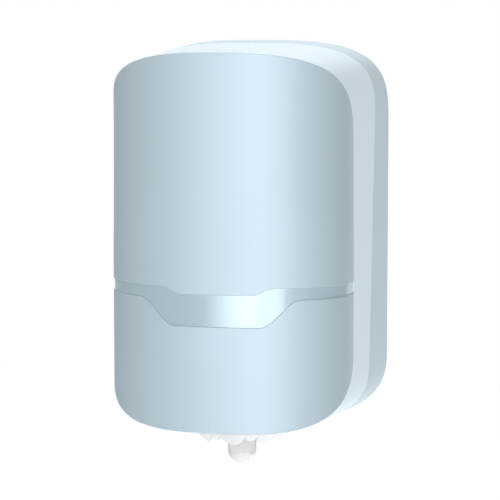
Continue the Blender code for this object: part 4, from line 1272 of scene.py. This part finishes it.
@dataclass
class Opening:
    """Shapes that are cut from the casing."""

    casing: Casing
    radius: float = 0.0578
    outlet_steps: int = 128
    outlet_span: tuple[float, float] = (-0.2600, -0.1550)
    hinge_bottom: float = -0.2100
    hinge_front: float = 0.0060
    hinge_rear: float = 0.0040
    pocket_front: float = 0.0040
    pocket_end: float = 0.0900
    lip_span: tuple[float, float] = (-0.2500, -0.0900)
    lip_half: float = 0.1400
    lip_length: float = 0.0100
    hole_x: float = 0.0550
    hole_reach: float = 0.0040
    keyhole_z: float = 0.1250
    keyhole_rise: float = 0.0100
    keyhole_radius: float = 0.0050
    neck_radius: float = 0.0026
    lower_hole_z: float = -0.0600
    neck_steps: int = 32
    keyhole_steps: int = 48

    def disc(self) -> Shape:
        """Makes the round opening for the skirt."""
        ends = [(0.0, self.casing.axis_y, z) for z in self.outlet_span]
        return Shape().rod(self.radius, *ends, self.outlet_steps)

    def cover_cutters(self) -> list[Shape]:
        """Makes what is cut from the cover.

        Returns:
            The skirt's opening with its way in, the hinge room and the key slots.
        """
        hinge, rooms = Hinge(self.casing), Shape()
        end = hinge.stations()[2][1] + 2 * self.casing.fit
        for side, _ in SIDES:
            rooms.block(
                (side * (hinge.inner - hinge.lug), hinge.y - self.hinge_front, self.hinge_bottom),
                (side * end, hinge.y + self.hinge_rear, hinge.z + hinge.barrel),
            )
        bottom, top = self.outlet_span
        gate = Shape().block((-self.radius, self.casing.axis_y, bottom), (self.radius, 0.0, top))
        return [self.disc(), gate, rooms, Latch().key_slots()]

    def housing_cutters(self) -> list[Shape]:
        """Makes what is cut from the housing.

        Returns:
            The lower part of its lip, and all openings.
        """
        hinge, pockets = Hinge(self.casing), Shape()
        for side, _ in SIDES:
            near = side * (hinge.inner - 2 * hinge.lug)
            pockets.block(
                (near, hinge.y - self.pocket_front, self.hinge_bottom),
                (side * self.pocket_end, hinge.y + hinge.pocket, hinge.z + hinge.barrel),
            )
        split = self.casing.split_y
        profile = [(split(z) + self.casing.fit / 2, z) for z in self.lip_span]
        profile += [(split(z) - self.lip_length, z) for z in reversed(self.lip_span)]
        lip = Shape().plate(profile, -self.lip_half, 2 * self.lip_half)
        return [lip, self.disc(), pockets, Latch().key_slots(), self.wall_holes()]

    def wall_holes(self) -> Shape:
        """Makes the holes for the wall screws.

        Returns:
            The keyholes above and the plain holes below.
        """
        holes, reach = Shape(), self.hole_reach
        through = Vector((0.0, -2 * reach, 0.0))
        joint = asin(self.neck_radius / self.keyhole_radius)
        neck_z, sweep = self.keyhole_z + self.keyhole_rise, 2 * pi - 2 * joint
        for x in (-self.hole_x, self.hole_x):
            outline = [
                (x + radius * cos(turn), reach, z + radius * sin(turn))
                for radius, z, first, swept, steps in (
                    (self.neck_radius, neck_z, 0.0, pi, self.neck_steps),
                    (self.keyhole_radius, self.keyhole_z, pi / 2 + joint, sweep,
                     self.keyhole_steps),
                )
                for turn in (first + swept * i / steps for i in range(steps + 1))
            ]
            low = Vector((x, reach, self.lower_hole_z))
            holes.prism(outline, through)
            holes.rod(self.neck_radius, low, low + through, self.keyhole_steps)
        return holes


@dataclass
class Housing:
    """The housing on the wall."""

    casing: Casing
    grey: Material
    back_wall: float = 0.0030
    back_rim: float = 0.0080
    side_steps: int = 4
    lip_wall: float = 0.0014
    lip_length: float = 0.0050
    rim: float = 0.0012
    roll_radius: float = 0.0975
    roll_room: float = 0.0030
    rib_shares: tuple[float, float] = (0.74, 0.92)
    rib_wall: float = 0.0022
    rib_bottom: float = -0.1020
    rib_top: float = 0.0850
    cross_rib_depth: float = 0.0040
    cross_rib_heights: tuple[float, float, float] = (-0.0850, 0.0, 0.0850)
    boss_height: float = 0.0060
    boss_radius: float = 0.0050
    boss_hole: float = 0.0022
    boss_edge: float = 0.0004
    boss_fillet: Profile = ((0.0062, 0.0), (0.0056, 0.0002), (0.0052, 0.0006), (0.0050, 0.0012))
    boss_steps: int = 40
    platform_bosses: tuple[float, float] = (0.0150, 0.0450)
    platform_boss_z: float = -0.1350
    latch_boss_x: float = 0.0210
    latch_boss_z: float = 0.1662763

    def build(self) -> None:
        """Builds the housing's shell and what stands inside it."""
        self.shell()
        self.ribs()
        self.bosses()
        self.lugs()

    def ribs(self) -> None:
        """Builds the tall ribs that keep the roll upright and the low ribs between them."""
        back, circle, wall = -self.back_wall / 2, self.roll_radius + self.roll_room, self.rib_wall
        shape = Shape()
        for x_share in self.rib_shares:
            x = x_share * self.roll_radius
            front = self.casing.axis_y + sqrt(circle * circle - x * x)
            taper = self.rib_top + (back - front) / 2
            profile = (
                (back, self.rib_bottom), (front, self.rib_bottom), (front, self.rib_top),
                (back, taper),
            )
            for side in (-x, x):
                shape.plate(profile, side - wall / 2, wall)
        half = self.rib_shares[0] * self.roll_radius - wall / 2
        low = -self.back_wall - self.cross_rib_depth
        for z in self.cross_rib_heights:
            shape.block((-half, low, z - wall / 2), (half, back, z + wall / 2))
        piece = Piece("housing_ribs", Body.HOUSING, Slot.HOUSING, self.grey)
        piece.build(shape.outward()).bevel(PLATE_EDGE).place()

    def bosses(self) -> None:
        """Builds the hollow screw bosses on the back wall, each with a fillet at its foot."""
        floor, face = self.back_wall, self.back_wall + self.boss_height
        radius, hole, edge = self.boss_radius, self.boss_hole, self.boss_edge
        profile = (
            (0.0, floor / 2), (self.boss_fillet[0][0], floor / 2),
            *((wide, floor + rise) for wide, rise in self.boss_fillet), (radius, face - edge),
            (radius - edge, face), (hole + edge, face), (hole, face - edge), (hole, floor),
            (0.0, floor),
        )
        places = [(x, self.platform_boss_z) for x in both_sides(self.platform_bosses)]
        places += [(-self.latch_boss_x, self.latch_boss_z), (self.latch_boss_x, self.latch_boss_z)]
        turned = [Matrix.Translation((x, 0.0, z)) @ FROM_WALL for x, z in places]
        piece = Piece("housing_bosses", Body.HOUSING, Slot.HOUSING, self.grey)
        piece.build(Shape.turned(profile, self.boss_steps).at(*turned).outward()).place()

    def lugs(self) -> None:
        """Builds the lugs on both sides of each hinge knuckle."""
        for side, word in SIDES:
            piece = Piece(f"hinge_lugs_{word}", Body.HOUSING, Slot.HOUSING, self.grey)
            Hinge(self.casing).build_lugs(piece, side)

    def shell(self) -> None:
        """Builds the tray: flat back, sloped sides and the lip that enters the cover."""
        casing, wall, fit = self.casing, self.casing.wall, self.casing.fit
        lip, steps = wall + 2 * fit, self.side_steps

        def side(share: float, upper: bool, place: float) -> Vector:
            """Runs from the back edge, at 0, to the split, at 1."""
            start = casing.wall_at_depth(share, upper, 0.0, 0.0)
            return start.lerp(casing.wall_at_split(share, upper, 0.0, fit / 2), place)

        rings = [
            casing.ring(casing.wall_at_depth, self.back_rim, 0.0),
            *(casing.ring(side, step / steps) for step in range(steps + 1)),
            casing.ring(casing.wall_at_split, lip, fit / 2),
            casing.ring(casing.wall_at_split, lip, -self.lip_length),
            casing.ring(casing.wall_at_split, lip + self.lip_wall, -self.lip_length),
            casing.ring(casing.wall_at_depth, wall, -self.back_wall),
            casing.ring(casing.wall_at_depth, self.back_rim, -self.back_wall),
        ]
        piece = Piece("housing_shell", Body.HOUSING, Slot.HOUSING, self.grey, ("back_housing",))
        piece.build(Shape.loft(rings, capped=True).outward())
        piece.bevel(self.rim / 2, FINE_SEGMENTS, RIM_ANGLE).apply()
        piece.cut(*Opening(casing).housing_cutters()).place()


@dataclass
class Skirt:
    """The petal skirt under the casing."""

    casing: Casing
    white: Material
    steps: int = 384
    pairs: int = 8
    large_share: float = 2 / 3
    radius: float = 0.0540
    wall: float = 0.0016
    top: float = -0.1745
    bend: float = -0.1825
    bend_rise: float = 0.0020
    top_edge: float = 0.0008
    bend_edge: tuple[float, float] = (0.0006, 0.0004)
    cusp_drop: float = 0.0045
    small_drop: float = 0.0098
    large_drop: float = 0.0142
    curl: float = 0.0010
    fall_steps: int = 4
    cupping: float = 0.0009
    tip: Profile = ((0.6, 0.1), (1.0, 1.0))
    inner_bow: tuple[float, float] = (0.4, 0.6)
    neck: float = -0.1790
    neck_radius: float = 0.0195
    hub_wall: float = 0.0032
    hub_drop: float = 0.0068
    hub_fillet: float = 0.0006
    hub_edge: float = 0.0005
    bore: float = 0.0153
    bore_edge: float = 0.0004
    seat: float = 0.0188
    seat_drop: float = 0.0041
    screw_circle: float = 0.0340
    screw_hole: float = 0.0022
    screw_past: float = 0.0040
    screw_steps: int = 24
    crease: float = 28.0

    def across(self, turn: float) -> tuple[float, float]:
        """Finds the petal at a turn.

        Args:
            turn: angle about the axis.

        Returns:
            The place across the petal, -1 to 1, and its drop.
        """
        pitch = 2 * pi / self.pairs
        large = pitch * self.large_share
        place = (turn + large / 2) % pitch
        if place <= large:
            return 2 * place / large - 1, self.large_drop
        return 2 * (place - large) / (pitch - large) - 1, self.small_drop

    def section(self, turn: float) -> Profile:
        """Goes round the skirt's wall at a turn.

        Args:
            turn: angle about the axis.

        Returns:
            Radius and height pairs.
        """
        across, middle_drop = self.across(turn)
        round_share = sqrt(max(0.0, 1 - across * across))
        drop = self.cusp_drop + (middle_drop - self.cusp_drop) * round_share
        fall = self.cupping * across * across
        slant, wall = self.wall / sqrt(2), self.wall
        sleeve = self.neck_radius + self.casing.fit
        hub, floor = sleeve + self.hub_wall, self.neck - self.hub_drop
        step, shoulder = self.neck - self.casing.fit, self.neck - self.seat_drop
        outer, inner = self.radius, self.radius - wall
        top, bend, bore, edge = self.top, self.bend, self.bore, self.bore_edge
        fillet, rounding, steps = self.hub_fillet, self.hub_edge, self.fall_steps
        return [
            (sleeve, top + wall), (hub, top + wall), (hub, top), (outer - self.top_edge, top),
            (outer - fall / 2, top - self.top_edge), (outer - fall, bend + self.bend_rise),
            (outer - fall - self.bend_edge[0], bend - self.bend_edge[1]),
            *(
                (outer - fall - drop * i / steps + self.curl * sin(pi * i / steps),
                 bend - drop * i / steps)
                for i in range(1, steps + 1)
            ),
            *(
                (outer - fall - drop - slant * inward, bend - drop + slant * upward)
                for inward, upward in self.tip
            ),
            (inner - fall - drop / 2 - slant * self.inner_bow[0],
             bend - drop / 2 + slant * self.inner_bow[1]),
            (inner - fall, bend + wall / 2), (inner, top - wall), (hub + fillet, top - wall),
            (hub, top - wall - fillet), (hub, floor + rounding), (hub - rounding, floor),
            (bore + edge, floor), (bore, floor + edge), (bore, shoulder), (self.seat, shoulder),
            (self.seat, step), (sleeve, step),
        ]

    def build(self) -> None:
        """Builds the skirt."""
        name, nodes = "skirt_petals", ("petal_skirt",)
        piece = Piece(name, Body.HOUSING, Slot.WHITE, self.white, nodes, self.crease)
        piece.build(Shape.swept(self.section, self.casing.axis_y, self.steps).outward())
        holes, past = Shape(), self.screw_past
        for x, y in self.casing.round_axis(self.screw_circle):
            ends = (x, y, self.top + past), (x, y, self.top - past)
            holes.rod(self.screw_hole, *ends, self.screw_steps)
        piece.cut(holes).place()


@dataclass
class Nozzle:
    """The ribbed, domed nozzle in the skirt's hub."""

    casing: Casing
    white: Material
    steps: int = 320
    ribs: int = 40
    groove: float = 0.0013
    radius: float = 0.0145
    wall: float = 0.0020
    top: float = -0.1795
    tip: float = -0.2213
    dome_drop: float = 0.0112
    hole: float = 0.0060
    hole_edge: tuple[float, float] = (0.0004, 0.0005)
    inset: float = 0.0006
    groove_foot: float = 0.0006
    flange: float = 0.0184
    flange_height: float = 0.0034
    flange_edge: float = 0.0003
    neck: float = 0.0035
    neck_fillet: float = 0.0005
    mouth_flare: float = 0.0010
    outer_steps: int = 10
    inner_steps: int = 8
    crease: float = 40.0

    def section(self, turn: float) -> Profile:
        """Goes round the nozzle's wall at a turn.

        Args:
            turn: angle about the axis.

        Returns:
            Radius and height pairs.
        """
        outer, inner = self.radius, self.radius - self.inset - self.wall
        depth = self.groove * (0.5 + 0.5 * cos(turn * self.ribs)) ** 2
        top, below, dome = self.top, self.top - self.flange_height, self.tip + self.dome_drop
        edge, valley = self.flange_edge, outer - depth
        rows = [
            (inner + self.mouth_flare, top), (self.flange - edge, top), (self.flange, top - edge),
            (self.flange, below + edge), (self.flange - edge, below), (outer, below),
            (outer, below - self.neck), (valley, below - self.neck - self.neck_fillet),
            (valley, dome + self.groove_foot), (outer, dome),
        ]
        end = acos(self.hole / outer)
        for i in range(1, self.outer_steps + 1):
            angle = end * i / self.outer_steps
            drop = self.dome_drop * sin(angle) / sin(end)
            rows.append((outer * cos(angle), dome - drop))
        rows[-1] = (rows[-1][0] + self.hole_edge[0], rows[-1][1])
        rows.append((self.hole, rows[-1][1] + self.hole_edge[1]))
        end = acos(self.hole / inner)
        for i in range(self.inner_steps, -1, -1):
            angle = end * i / self.inner_steps
            drop = (self.dome_drop - self.wall) * sin(angle) / sin(end)
            rows.append((inner * cos(angle), dome - drop))
        return rows

    def build(self) -> None:
        """Builds the nozzle."""
        piece = Piece("nozzle_dome", Body.NOZZLE, Slot.WHITE, self.white, ("nozzle",), self.crease)
        piece.build(Shape.swept(self.section, self.casing.axis_y, self.steps).outward()).place()


@dataclass
class Carrier:
    """What carries the roll and the outlet: the platform with its flange, and the funnel."""

    casing: Casing
    inner: Material
    top: float = -0.1180
    wall: float = 0.0040
    past: float = 0.0040
    radius: float = 0.1012
    plan_steps: int = 72
    rim_wall: float = 0.0022
    rim_height: float = 0.0080
    flange_front: float = -0.0123
    flange_back: float = -0.0093
    flange_half: float = 0.0620
    flange_height: float = 0.0340
    gusset_x: tuple[float, float] = (0.0330, 0.0560)
    gusset_wall: float = 0.0020
    gusset_reach: float = 0.0360
    gusset_root: float = 0.0015
    screw_x: tuple[float, float] = (0.0150, 0.0450)
    screw_hole: float = 0.0022
    seat: float = 0.0603
    seat_depth: float = 0.0023
    seat_steps: int = 128
    mouth: float = 0.0520
    mouth_edge: tuple[float, float] = (0.0012, 0.0010)
    mouth_foot: float = 0.0002
    throat_edge: tuple[float, float] = (0.0012, 0.0024)
    throat_foot: float = 0.0004
    neck: float = 0.0195
    neck_bottom: float = -0.1790
    neck_length: float = 0.0060
    lip: float = 0.0006
    cone_wall: float = 0.0020
    cone_steps: int = 150
    cone_crease: float = 28.0
    boss_circle: float = 0.0340
    boss_radius: float = 0.0040
    boss_bottom: float = -0.1742
    boss_bury: float = 0.9
    boss_steps: int = 40
    boss_hole_depth: float = 0.0077

    def build(self) -> None:
        """Builds both mouldings."""
        self.platform()
        self.funnel()

    def plan(self, radius: float, back: float, low: float, high: float) -> Shape:
        """Makes a disc about the outlet, cut off flat at the back.

        Args:
            radius: the disc's radius.
            back: depth of the flat.
            low: height of its underside.
            high: height of its top.

        Returns:
            The shape.
        """
        y, steps = self.casing.axis_y, self.plan_steps
        limit = acos(max(-1.0, (y - back) / radius))
        turns = [limit * (i / steps - 1) for i in range(2 * steps + 1)]
        points = [(radius * sin(a), y - radius * cos(a), low) for a in turns]
        return Shape().prism(points, (0.0, 0.0, high - low))

    def platform(self) -> None:
        """Builds the tray that the roll stands on."""
        top, past, front = self.top, self.past, self.flange_front
        rim_top, bottom, under = top + self.rim_height, top - self.wall, top - self.flange_height
        disc = self.plan(self.radius, front + self.casing.fit, bottom, rim_top)
        inside = self.plan(self.radius - self.rim_wall, front + past, top, rim_top + past)
        flange = Shape().block(
            (-self.flange_half, front, under), (self.flange_half, self.flange_back, top)
        )
        root, tip, wall = front + self.gusset_root, front - self.gusset_reach, self.gusset_wall
        profile = (
            (root, bottom + self.wall / 2), (tip, bottom + self.wall / 2), (tip, bottom - wall),
            (root, under + wall),
        )
        gussets = Shape()
        for x in both_sides(self.gusset_x):
            gussets.plate(profile, x - wall / 2, wall)
        hole, floor = self.mouth + self.cone_wall, top - self.seat_depth
        profile = (
            (0.0, top + past), (self.seat, top + past), (self.seat, floor), (hole, floor),
            (hole, bottom - past), (0.0, bottom - past),
        )
        centre = Matrix.Translation((0.0, self.casing.axis_y, 0.0))
        seat = Shape.turned(profile, self.seat_steps).at(centre)
        holes, z = Shape(), top - self.flange_height / 2
        for x in both_sides(self.screw_x):
            holes.rod(self.screw_hole, (x, self.flange_back + past, z), (x, front - past, z))
        piece = Piece("platform_tray", Body.HOUSING, Slot.INNER, self.inner, ("roll_platform",))
        piece.build(disc.outward()).cut(inside).join(flange, gussets).cut(seat, holes)
        piece.bevel(PLATE_EDGE).place()

    def funnel(self) -> None:
        """Builds the cone that gathers the paper, with four bosses for the skirt."""
        top, mouth, neck, lip = self.top, self.mouth, self.neck, self.lip
        below, foot = top - self.cone_wall, self.neck_bottom
        throat, flange = foot + self.neck_length, self.seat - self.casing.fit
        wide, inner = mouth + self.cone_wall - self.casing.fit, neck - self.cone_wall
        profile = (
            (mouth + lip, top), (flange - lip / 2, top), (flange, top - lip / 2), (flange, below),
            (wide, below), (neck, throat), (neck, foot + lip / 2), (neck - lip / 2, foot),
            (inner + lip, foot), (inner, foot + lip), (inner, throat + self.throat_foot),
            (inner + self.throat_edge[0], throat + self.throat_edge[1]),
            (mouth - self.mouth_edge[0], below - self.mouth_edge[1]),
            (mouth, below + self.mouth_foot), (mouth, top - lip), (mouth + lip / 3, top - lip / 4),
        )
        centre = Matrix.Translation((0.0, self.casing.axis_y, 0.0))
        bosses, holes, bottom = Shape(), Shape(), self.boss_bottom
        for x, y in self.casing.round_axis(self.boss_circle):
            ends = (x, y, bottom - self.past), (x, y, bottom + self.boss_hole_depth)
            bosses.rod(self.boss_radius, (x, y, below), (x, y, bottom), self.boss_steps)
            holes.rod(self.screw_hole, *ends)
        caps = [face for face in bosses.bm.faces if len(face.verts) > 4]
        bmesh.ops.triangulate(bosses.bm, faces=caps)
        slope = (throat - below) / (wide - neck)
        for vert in bosses.bm.verts:
            if vert.co.z > bottom + lip:
                radius = hypot(vert.co.x, vert.co.y - self.casing.axis_y)
                vert.co.z = below + slope * (wide - radius) + self.boss_bury * self.cone_wall
        name, nodes = "funnel_cone", ("funnel",)
        piece = Piece(name, Body.HOUSING, Slot.INNER, self.inner, nodes, self.cone_crease)
        piece.build(Shape.turned(profile, self.cone_steps).at(centre).outward())
        piece.join(bosses).cut(holes).place()


@dataclass
class Fasteners:
    """The cross-head screws, the hinge pins and the latch spring."""

    steel: Material
    head_radius: float = 0.0040
    head_height: float = 0.0024
    head_steps: int = 6
    head_edge: float = 0.0002
    head_powers: tuple[float, float] = (0.7, 0.8)
    head_rim: float = 0.42
    cross_reach: float = 0.0021
    cross_half: float = 0.00042
    cross_depth: float = 0.0012
    cross_past: float = 0.0010
    shank: float = 0.0018
    core: float = 0.00145
    thread_start: float = 0.0006
    thread_pitch: float = 0.0008
    length: float = 0.0080
    screw_steps: int = 32
    pin_radius: float = 0.0016
    pin_chamfer: float = 0.0003
    pin_head: Profile = ((0.0021, 0.0), (0.0026, 0.0005), (0.0026, 0.0010), (0.0024, 0.0012))
    pin_steps: int = 40
    spring_radius: float = 0.0034
    wire: float = 0.0005
    wire_steps: int = 12
    spring_low: float = 0.1555763
    spring_high: float = 0.1759763
    spring_turns: float = 6.0
    steps_a_turn: int = 36
    close_share: float = 0.06
    spring_crease: float = 60.0
    push: float = 0.0050

    def build(self, nodes: Sequence[str]) -> None:
        """Builds every fastener.

        Args:
            nodes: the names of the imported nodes.
        """
        self.screws(sorted(node for node in nodes if "screw" in node))
        self.pins()
        self.spring()

    def piece(self, node: str) -> Piece:
        """Names the steel piece that replaces a node of the housing."""
        return Piece(f"{node}_fine", Body.HOUSING, Slot.STEEL, self.steel, (node,))

    def screw_pattern(self) -> bpy.types.Object:
        """Makes one screw.

        Returns:
            The screw, which points up, with the underside of its head at the origin.
        """
        radius, height, edge = self.head_radius, self.head_height, self.head_edge
        wide, deep = self.head_powers
        profile = [(0.0, -height)]
        for i in range(1, self.head_steps + 1):
            turn = pi / 2 * i / self.head_steps
            rise = self.head_rim + (1 - self.head_rim) * cos(turn) ** deep
            profile.append((radius * sin(turn) ** wide, -height * rise))
        profile += [(radius, -edge), (radius - edge, 0.0), (self.core, 0.0)]
        rise = self.thread_start
        while rise < self.length - self.shank:
            profile += [(self.core, rise), (self.shank, rise + self.thread_pitch / 2)]
            rise += self.thread_pitch
        profile += [(self.core, rise), (0.0, self.length)]
        reach, half, start = self.cross_reach, self.cross_half, -height - self.cross_past
        points, quarter = [], [(reach, -half), (reach, half), (half, half)]
        for _ in range(4):
            points += [(x, y, start) for x, y in quarter]
            quarter = [(-y, x) for x, y in quarter]
        cross = Shape().prism(points, (0.0, 0.0, self.cross_past + self.cross_depth))
        piece = Piece("screw_pattern", Body.HOUSING, Slot.STEEL, self.steel)
        piece.build(Shape.turned(profile, self.screw_steps).outward())
        return piece.cut(cross).obj

    def screws(self, nodes: Sequence[str]) -> None:
        """Builds every screw in the place of its node.

        Args:
            nodes: the screws' nodes.
        """
        pattern = self.screw_pattern()
        mesh = pattern.data
        for node in nodes:
            low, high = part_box(node)
            middle = (Vector(low) + Vector(high)) / 2
            if node.startswith("skirt"):
                place = Matrix.Translation((middle.x, middle.y, low[2] + self.head_height))
            else:
                head = (middle.x, low[1] + self.head_height, middle.z)
                place = Matrix.Translation(head) @ TOWARDS_WALL
            self.piece(node).build(Shape.of(mesh).at(place).outward()).place()
        bpy.data.objects.remove(pattern)
        bpy.data.meshes.remove(mesh)

    def pins(self) -> None:
        """Builds the two headed hinge pins, pushed in from the middle."""
        radius, chamfer = self.pin_radius, self.pin_chamfer
        for side, word in SIDES:
            node = f"hinge_pin_{word}"
            low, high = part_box(node)
            middle = (Vector(low) + Vector(high)) / 2
            start, end = sorted((abs(low[0]), abs(high[0])))
            head = [(wide, start + rise) for wide, rise in self.pin_head]
            profile = (
                (0.0, start), *head, (radius, head[-1][1]), (radius, end - 2 * chamfer),
                (radius - chamfer, end), (0.0, end),
            )
            turn = Matrix.Rotation(side * pi / 2, 4, "Y")
            place = Matrix.Translation((0.0, middle.y, middle.z)) @ turn
            shape = Shape.turned(profile, self.pin_steps).at(place)
            self.piece(node).build(shape.outward()).place()

    def spring(self) -> None:
        """Builds the wound spring, which moves with the bolt."""
        low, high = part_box("latch_spring")
        y, turns = (low[1] + high[1]) / 2, self.spring_turns
        bottom, top = self.spring_low + self.wire, self.spring_high - self.wire
        steps = int(turns * self.steps_a_turn)
        round_wire = [2 * pi * k / self.wire_steps for k in range(self.wire_steps)]
        rings = []
        for share in (i / steps for i in range(steps + 1)):
            turn, wound = 2 * pi * turns * share, share * turns
            ends = min(1.0, wound, turns - wound)
            rise = (share - 0.5) * (1 - self.close_share + self.close_share * ends) + 0.5
            out = Vector((cos(turn), sin(turn), 0.0))
            centre = Vector((0.0, y, bottom + (top - bottom) * rise)) + out * self.spring_radius
            rings.append([
                centre + self.wire * (cos(a) * out + sin(a) * UP) for a in round_wire
            ])
        name, nodes = "spring_coil", ("latch_spring",)
        piece = Piece(name, Body.BOLT, Slot.STEEL, self.steel, nodes, self.spring_crease)
        obj = piece.build(Shape.loft(rings, capped=True).outward()).place()
        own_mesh(obj)


def main() -> None:
    """Builds the looks, then the studio."""
    logging.basicConfig(level=logging.INFO, format="%(message)s")
    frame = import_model()
    blue = Finish("pale_blue_pearl", (0.42, 0.515, 0.575), 0.46, metallic=0.22, specular=0.15)
    white = Finish("pale_casing", (0.68, 0.84, 0.93), 0.38, coat=0.05, specular=0.4)
    petals = Finish("white_outlet", (0.85, 0.86, 0.87), 0.35, specular=0.4)
    ribbed = Finish("white_nozzle", (0.84, 0.85, 0.86), 0.30, specular=0.4)
    grey = Finish("grey_casing", (0.46, 0.61, 0.70), 0.42)
    clear = Finish(
        "clear_window", (0.40, 0.50, 0.56), 0.20, metallic=0.28, specular=0.2, alpha=0.94
    )
    inner = Finish("inner_moulding", (0.78, 0.80, 0.81), 0.45)
    steel = Finish("plated_steel", (0.60, 0.60, 0.60), 0.28, metallic=1.0)
    casing = Casing()
    Cover(casing, white.material, blue.material, clear.material).build()
    Housing(casing, grey.material).build()
    Skirt(casing, petals.material).build()
    Nozzle(casing, ribbed.material).build()
    Carrier(casing, inner.material).build()
    Fasteners(steel.material).build(list(frame["nodes"]))
    Latch().build(frame["nodes"], inner.material, petals.material)
    Studio().build()
    bpy.context.view_layer.update()


if __name__ == "__main__":
    main()
